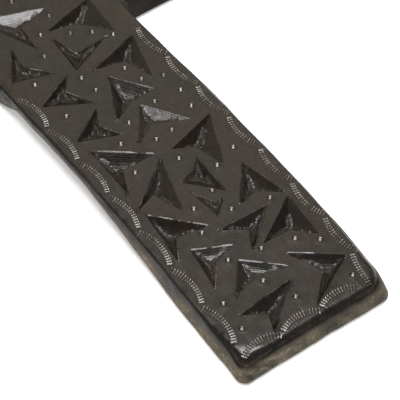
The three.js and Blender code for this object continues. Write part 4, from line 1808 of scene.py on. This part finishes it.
@dataclass(frozen=True)
class Softbox:
    """One soft square light."""

    name: str
    place: tuple[float, float, float]
    size: float
    radiance: float
    colour: tuple[float, float, float] = (1.0, 1.0, 1.0)

    def hang(self, target: Vector) -> None:
        """Hang the light.

        Args:
            target: The point that it faces.
        """
        lamp = bpy.data.lights.new(self.name, "AREA")
        lamp.shape = "SQUARE"
        lamp.size = self.size
        lamp.energy = self.radiance * math.pi * self.size**2
        lamp.color = self.colour
        light = bpy.data.objects.new(self.name, lamp)
        light.location = self.place
        facing = target - Vector(self.place)
        light.rotation_euler = facing.to_track_quat("-Z", "Y").to_euler()
        bpy.context.scene.collection.objects.link(light)


@dataclass
class Studio:
    """The pale floor and wall, the soft lights and the camera."""

    slab: Slab
    target: Vector = field(default_factory=lambda: Vector((0.0, -0.014, -0.16)))
    floor_height: float = -1.45
    wall_gap: float = 0.0002
    wall_reach: float = 1600.0
    wall_top: float = 2200.0
    wall_shine: float = 0.5
    floor_reach: float = 4.0
    floor_mirrored: float = 0.15
    hole_inset: float = 0.2
    hole_tuck: float = 1.0
    lighter_side: tuple[float, float, float] = (0.3, 0.0, 0.954)
    side_glow: float = 0.38
    low_glow: float = 0.28
    room_glow: float = 0.075
    room_colour: tuple[float, float, float] = (1.0, 0.91, 0.78)
    lens: float = 144.0
    slant: float = 52.084
    turn: float = 36.076
    foot_seen: tuple[float, float, float] = (41.415, 49.910, 561.989)
    foot_shift: float = 1.0

    def build(self) -> None:
        """Set up the whole studio."""
        self._wall()
        self._floor()
        self._lights()
        self._world()
        self._camera()

    @staticmethod
    def _paint(
        name: str,
        colour: tuple[float, float, float],
        one_sided: bool = False,
        glow: float = 0.0,
        mirrored: float = 1.0,
    ) -> bpy.types.Material:
        """Build a matt paint.

        Args:
            name: The material's name.
            colour: Its colour.
            one_sided: Whether it is clear from behind.
            glow: How strongly it shines of itself.
            mirrored: Share of its light that reaches anything but the camera.

        Returns:
            The new material.
        """
        made = bpy.data.materials.new(name)
        made.use_nodes = True
        made.node_tree.nodes.clear()
        pen = NodePen(made.node_tree)
        matt = pen.add("ShaderNodeBsdfDiffuse", {"Color": (*colour, 1.0)}).outputs[0]
        if glow:
            lit = pen.add("ShaderNodeEmission", {"Color": (*colour, 1.0), "Strength": glow}).outputs[0]
            matt = pen.add("ShaderNodeAddShader", {0: matt, 1: lit}).outputs[0]
        if mirrored < 1.0:
            seen = pen.add("ShaderNodeLightPath").outputs["Is Camera Ray"]
            dimmed = tuple(value * mirrored for value in colour)
            dim = pen.add("ShaderNodeBsdfDiffuse", {"Color": (*dimmed, 1.0)}).outputs[0]
            matt = pen.add("ShaderNodeMixShader", {0: seen, 1: dim, 2: matt}).outputs[0]
        if one_sided:
            clear = pen.add("ShaderNodeBsdfTransparent").outputs[0]
            behind = pen.add("ShaderNodeNewGeometry").outputs["Backfacing"]
            matt = pen.add("ShaderNodeMixShader", {0: behind, 1: matt, 2: clear}).outputs[0]
        pen.add("ShaderNodeOutputMaterial", {"Surface": matt})
        return made

    @staticmethod
    def _set_up(name: str, points: list, faces: list, paint: bpy.types.Material) -> None:
        """Set up one flat piece of the studio.

        Args:
            name: The piece's name.
            points: Its points in the scene.
            faces: The point numbers of each face.
            paint: Its material.
        """
        mesh = bpy.data.meshes.new(name)
        mesh.from_pydata(points, [], faces)
        mesh.materials.append(paint)
        piece = bpy.data.objects.new(name, mesh)
        bpy.context.scene.collection.objects.link(piece)

    def _wall(self) -> None:
        """Build the white wall, open only where the cross's flat back covers it."""
        hole = self.slab.ring(self.hole_inset, self.hole_tuck, 0.0)
        reach, top, bottom = self.wall_reach, self.wall_top, self.floor_height / MM + NAIL_HEIGHT
        corners = np.array([(-reach, bottom), (reach, bottom), (reach, top), (-reach, top)])
        outline = np.concatenate([corners, hole])
        drawn = np.column_stack([outline, np.full(len(outline), -self.wall_gap / MM)])
        points = [Vector(point) for point in outline]
        count = len(hole)
        pairs = [(4 + i, 4 + (i + 1) % count) for i in range(count)]
        _, _, faces, origin, _, _ = delaunay_2d_cdt(points, pairs, [[0, 1, 2, 3]], 1, 1e-7)
        number = [min(source) for source in origin]
        kept = []
        for face in faces:
            numbers = [number[i] for i in face]
            if min(numbers) < 4 or not self._in_hole(outline[numbers].mean(axis=0), hole):
                kept.append(numbers)
        paint = self._paint("wall_paint", (0.86, 0.86, 0.86), one_sided=True, glow=self.wall_shine)
        self._set_up("studio_wall", to_scene(drawn).tolist(), kept, paint)

    @staticmethod
    def _in_hole(point: np.ndarray, hole: np.ndarray) -> bool:
        """Test whether a point lies inside the hole.

        Args:
            point: The point's x and y.
            hole: Rows of x, y of the hole's loop.

        Returns:
            Whether it does.
        """
        x, y = point[0], point[1]
        after = np.roll(hole, -1, axis=0)
        crosses = (hole[:, 1] > y) != (after[:, 1] > y)
        rise = np.where(after[:, 1] == hole[:, 1], 1e-9, after[:, 1] - hole[:, 1])
        where = hole[:, 0] + (y - hole[:, 1]) * (after[:, 0] - hole[:, 0]) / rise
        return bool(np.sum(crosses & (x < where)) % 2)

    def _floor(self) -> None:
        """Build the pale floor in front of and behind the wall."""
        reach, z = self.floor_reach, self.floor_height
        corners = [(-reach, -reach, z), (reach, -reach, z), (reach, reach, z), (-reach, reach, z)]
        paint = self._paint("floor_paint", (0.80, 0.79, 0.77), mirrored=self.floor_mirrored)
        self._set_up("studio_floor", corners, [(0, 1, 2, 3)], paint)

    def _lights(self) -> None:
        """Hang the softboxes."""
        boxes = [
            Softbox("front_softbox", (-0.08, -2.2, -0.26), 1.05, 17.0),
            Softbox("upper_fill", (1.14, -2.25, 1.38), 1.4, 0.7, (1.0, 0.85, 0.70)),
            Softbox("back_fill", (-1.2, 2.2, 1.0), 1.6, 3.0),
        ]
        for box in boxes:
            box.hang(self.target)

    def _world(self) -> None:
        """Set a dim room, lighter to the upper right and low down, that looks pale to the camera."""
        world = bpy.data.worlds.new("studio_world")
        world.use_nodes = True
        world.node_tree.nodes.clear()
        pen = NodePen(world.node_tree)
        way = pen.add("ShaderNodeTexCoord").outputs["Generated"]
        across = pen.vector("DOT_PRODUCT", way, self.lighter_side)
        height = pen.math("ABSOLUTE", pen.vector("DOT_PRODUCT", way, (0.0, 1.0, 0.0)))
        side = pen.math("MULTIPLY", pen.ramp(across, -0.25, 0.6), self.side_glow)
        low = pen.math("MULTIPLY", pen.ramp(height, 0.42, 0.1), self.low_glow)
        strength = pen.math("ADD", pen.math("MAXIMUM", side, low), self.room_glow)
        dim = pen.add("ShaderNodeBackground", {"Color": (*self.room_colour, 1.0), "Strength": strength})
        pale = pen.add("ShaderNodeBackground", {"Color": (0.9, 0.9, 0.9, 1.0), "Strength": 1.0})
        seen = pen.add("ShaderNodeLightPath").outputs["Is Camera Ray"]
        mixed = pen.add("ShaderNodeMixShader", {0: seen, 1: dim.outputs[0], 2: pale.outputs[0]})
        pen.add("ShaderNodeOutputWorld", {"Surface": mixed.outputs[0]})
        bpy.context.scene.world = world

    def _camera(self) -> None:
        """Place the camera where the photograph was taken."""
        slant, turn = math.radians(self.slant), math.radians(self.turn)
        away = Vector((math.sin(turn), math.cos(turn), 0.0))
        out = Vector((0.0, 0.0, 1.0))
        right = Vector((math.cos(turn), -math.sin(turn), 0.0))
        ahead = away * math.cos(slant) - out * math.sin(slant)
        down = -away * math.sin(slant) - out * math.cos(slant)
        seen = self.foot_seen
        place = -(right * seen[0] + down * seen[1] + ahead * seen[2])

        def upright(vector: Vector) -> Vector:
            """Return a drawn direction in the scene."""
            return Vector((vector.x, -vector.z, vector.y))

        axes = [upright(right), upright(-down), upright(-ahead)]
        foot = Vector((self.foot_shift, 0.0, -NAIL_HEIGHT))
        camera_data = bpy.data.cameras.new("photo_camera")
        camera_data.lens = self.lens
        camera_data.sensor_width = 36.0
        camera_data.clip_start = 0.01
        camera = bpy.data.objects.new("photo_camera", camera_data)
        turned = Matrix([[axis[row] for axis in axes] for row in range(3)]).to_4x4()
        camera.matrix_world = Matrix.Translation((upright(place) + foot) * MM) @ turned
        bpy.context.scene.collection.objects.link(camera)
        bpy.context.scene.camera = camera


def main() -> None:
    """Build the cross and its studio in order."""
    logging.basicConfig(level=logging.INFO, format="%(name)s: %(message)s")
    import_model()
    bpy.context.scene.view_settings.view_transform = "Standard"
    body = CrossBody()
    Studio(body.slab).build()
    LOG.info("studio built")
    effects = ClayEffects()
    finishes = {
        # The burnished finish's pale colour is dust and also the painted highlight in its ribs and
        # dimples.
        Finish.BURNISHED: ClayFinish(
            "burnished_clay", dust_and_highlight=(0.36, 0.315, 0.25), pressed_highlight=0.85, streak_height=0.00008,
            patchiness=0.24,
        ),
        Finish.CUT: ClayFinish(
            "cut_clay", raw=(0.014, 0.0105, 0.0068), roughness=0.28, raw_roughness=0.7,
            streak_height=0.00009, streak_across=2200.0, dusting=0.03,
        ),
        Finish.NOTCH: ClayFinish(
            "notch_clay", warm=(0.034, 0.027, 0.0175), cool=(0.022, 0.0185, 0.013),
            raw=(0.034, 0.026, 0.0165), roughness=0.36, raw_roughness=0.5, dusting=0.12,
            grain_height=0.00004,
        ),
        Finish.SIDE: ClayFinish(
            "side_clay",
            warm=(0.010, 0.0075, 0.0045),
            cool=(0.006, 0.0052, 0.004),
            dust_and_highlight=(0.33, 0.277, 0.192),
            raw=(0.03, 0.024, 0.014),
            gloss=0.05,
            roughness=0.3,
            raw_roughness=0.6,
            patchiness=0.25,
            patch_scale=220.0,
            dusting=0.0,
            streak_height=0.00008,
        ),
        Finish.BACK: ClayFinish("back_clay", roughness=0.5, streak_height=0.00004),
    }
    materials = {finish: made.material(effects) for finish, made in finishes.items()}
    cross = body.build(materials)
    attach(cross, BODY)
    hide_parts(CAD_NODE)


if __name__ == "__main__":
    main()
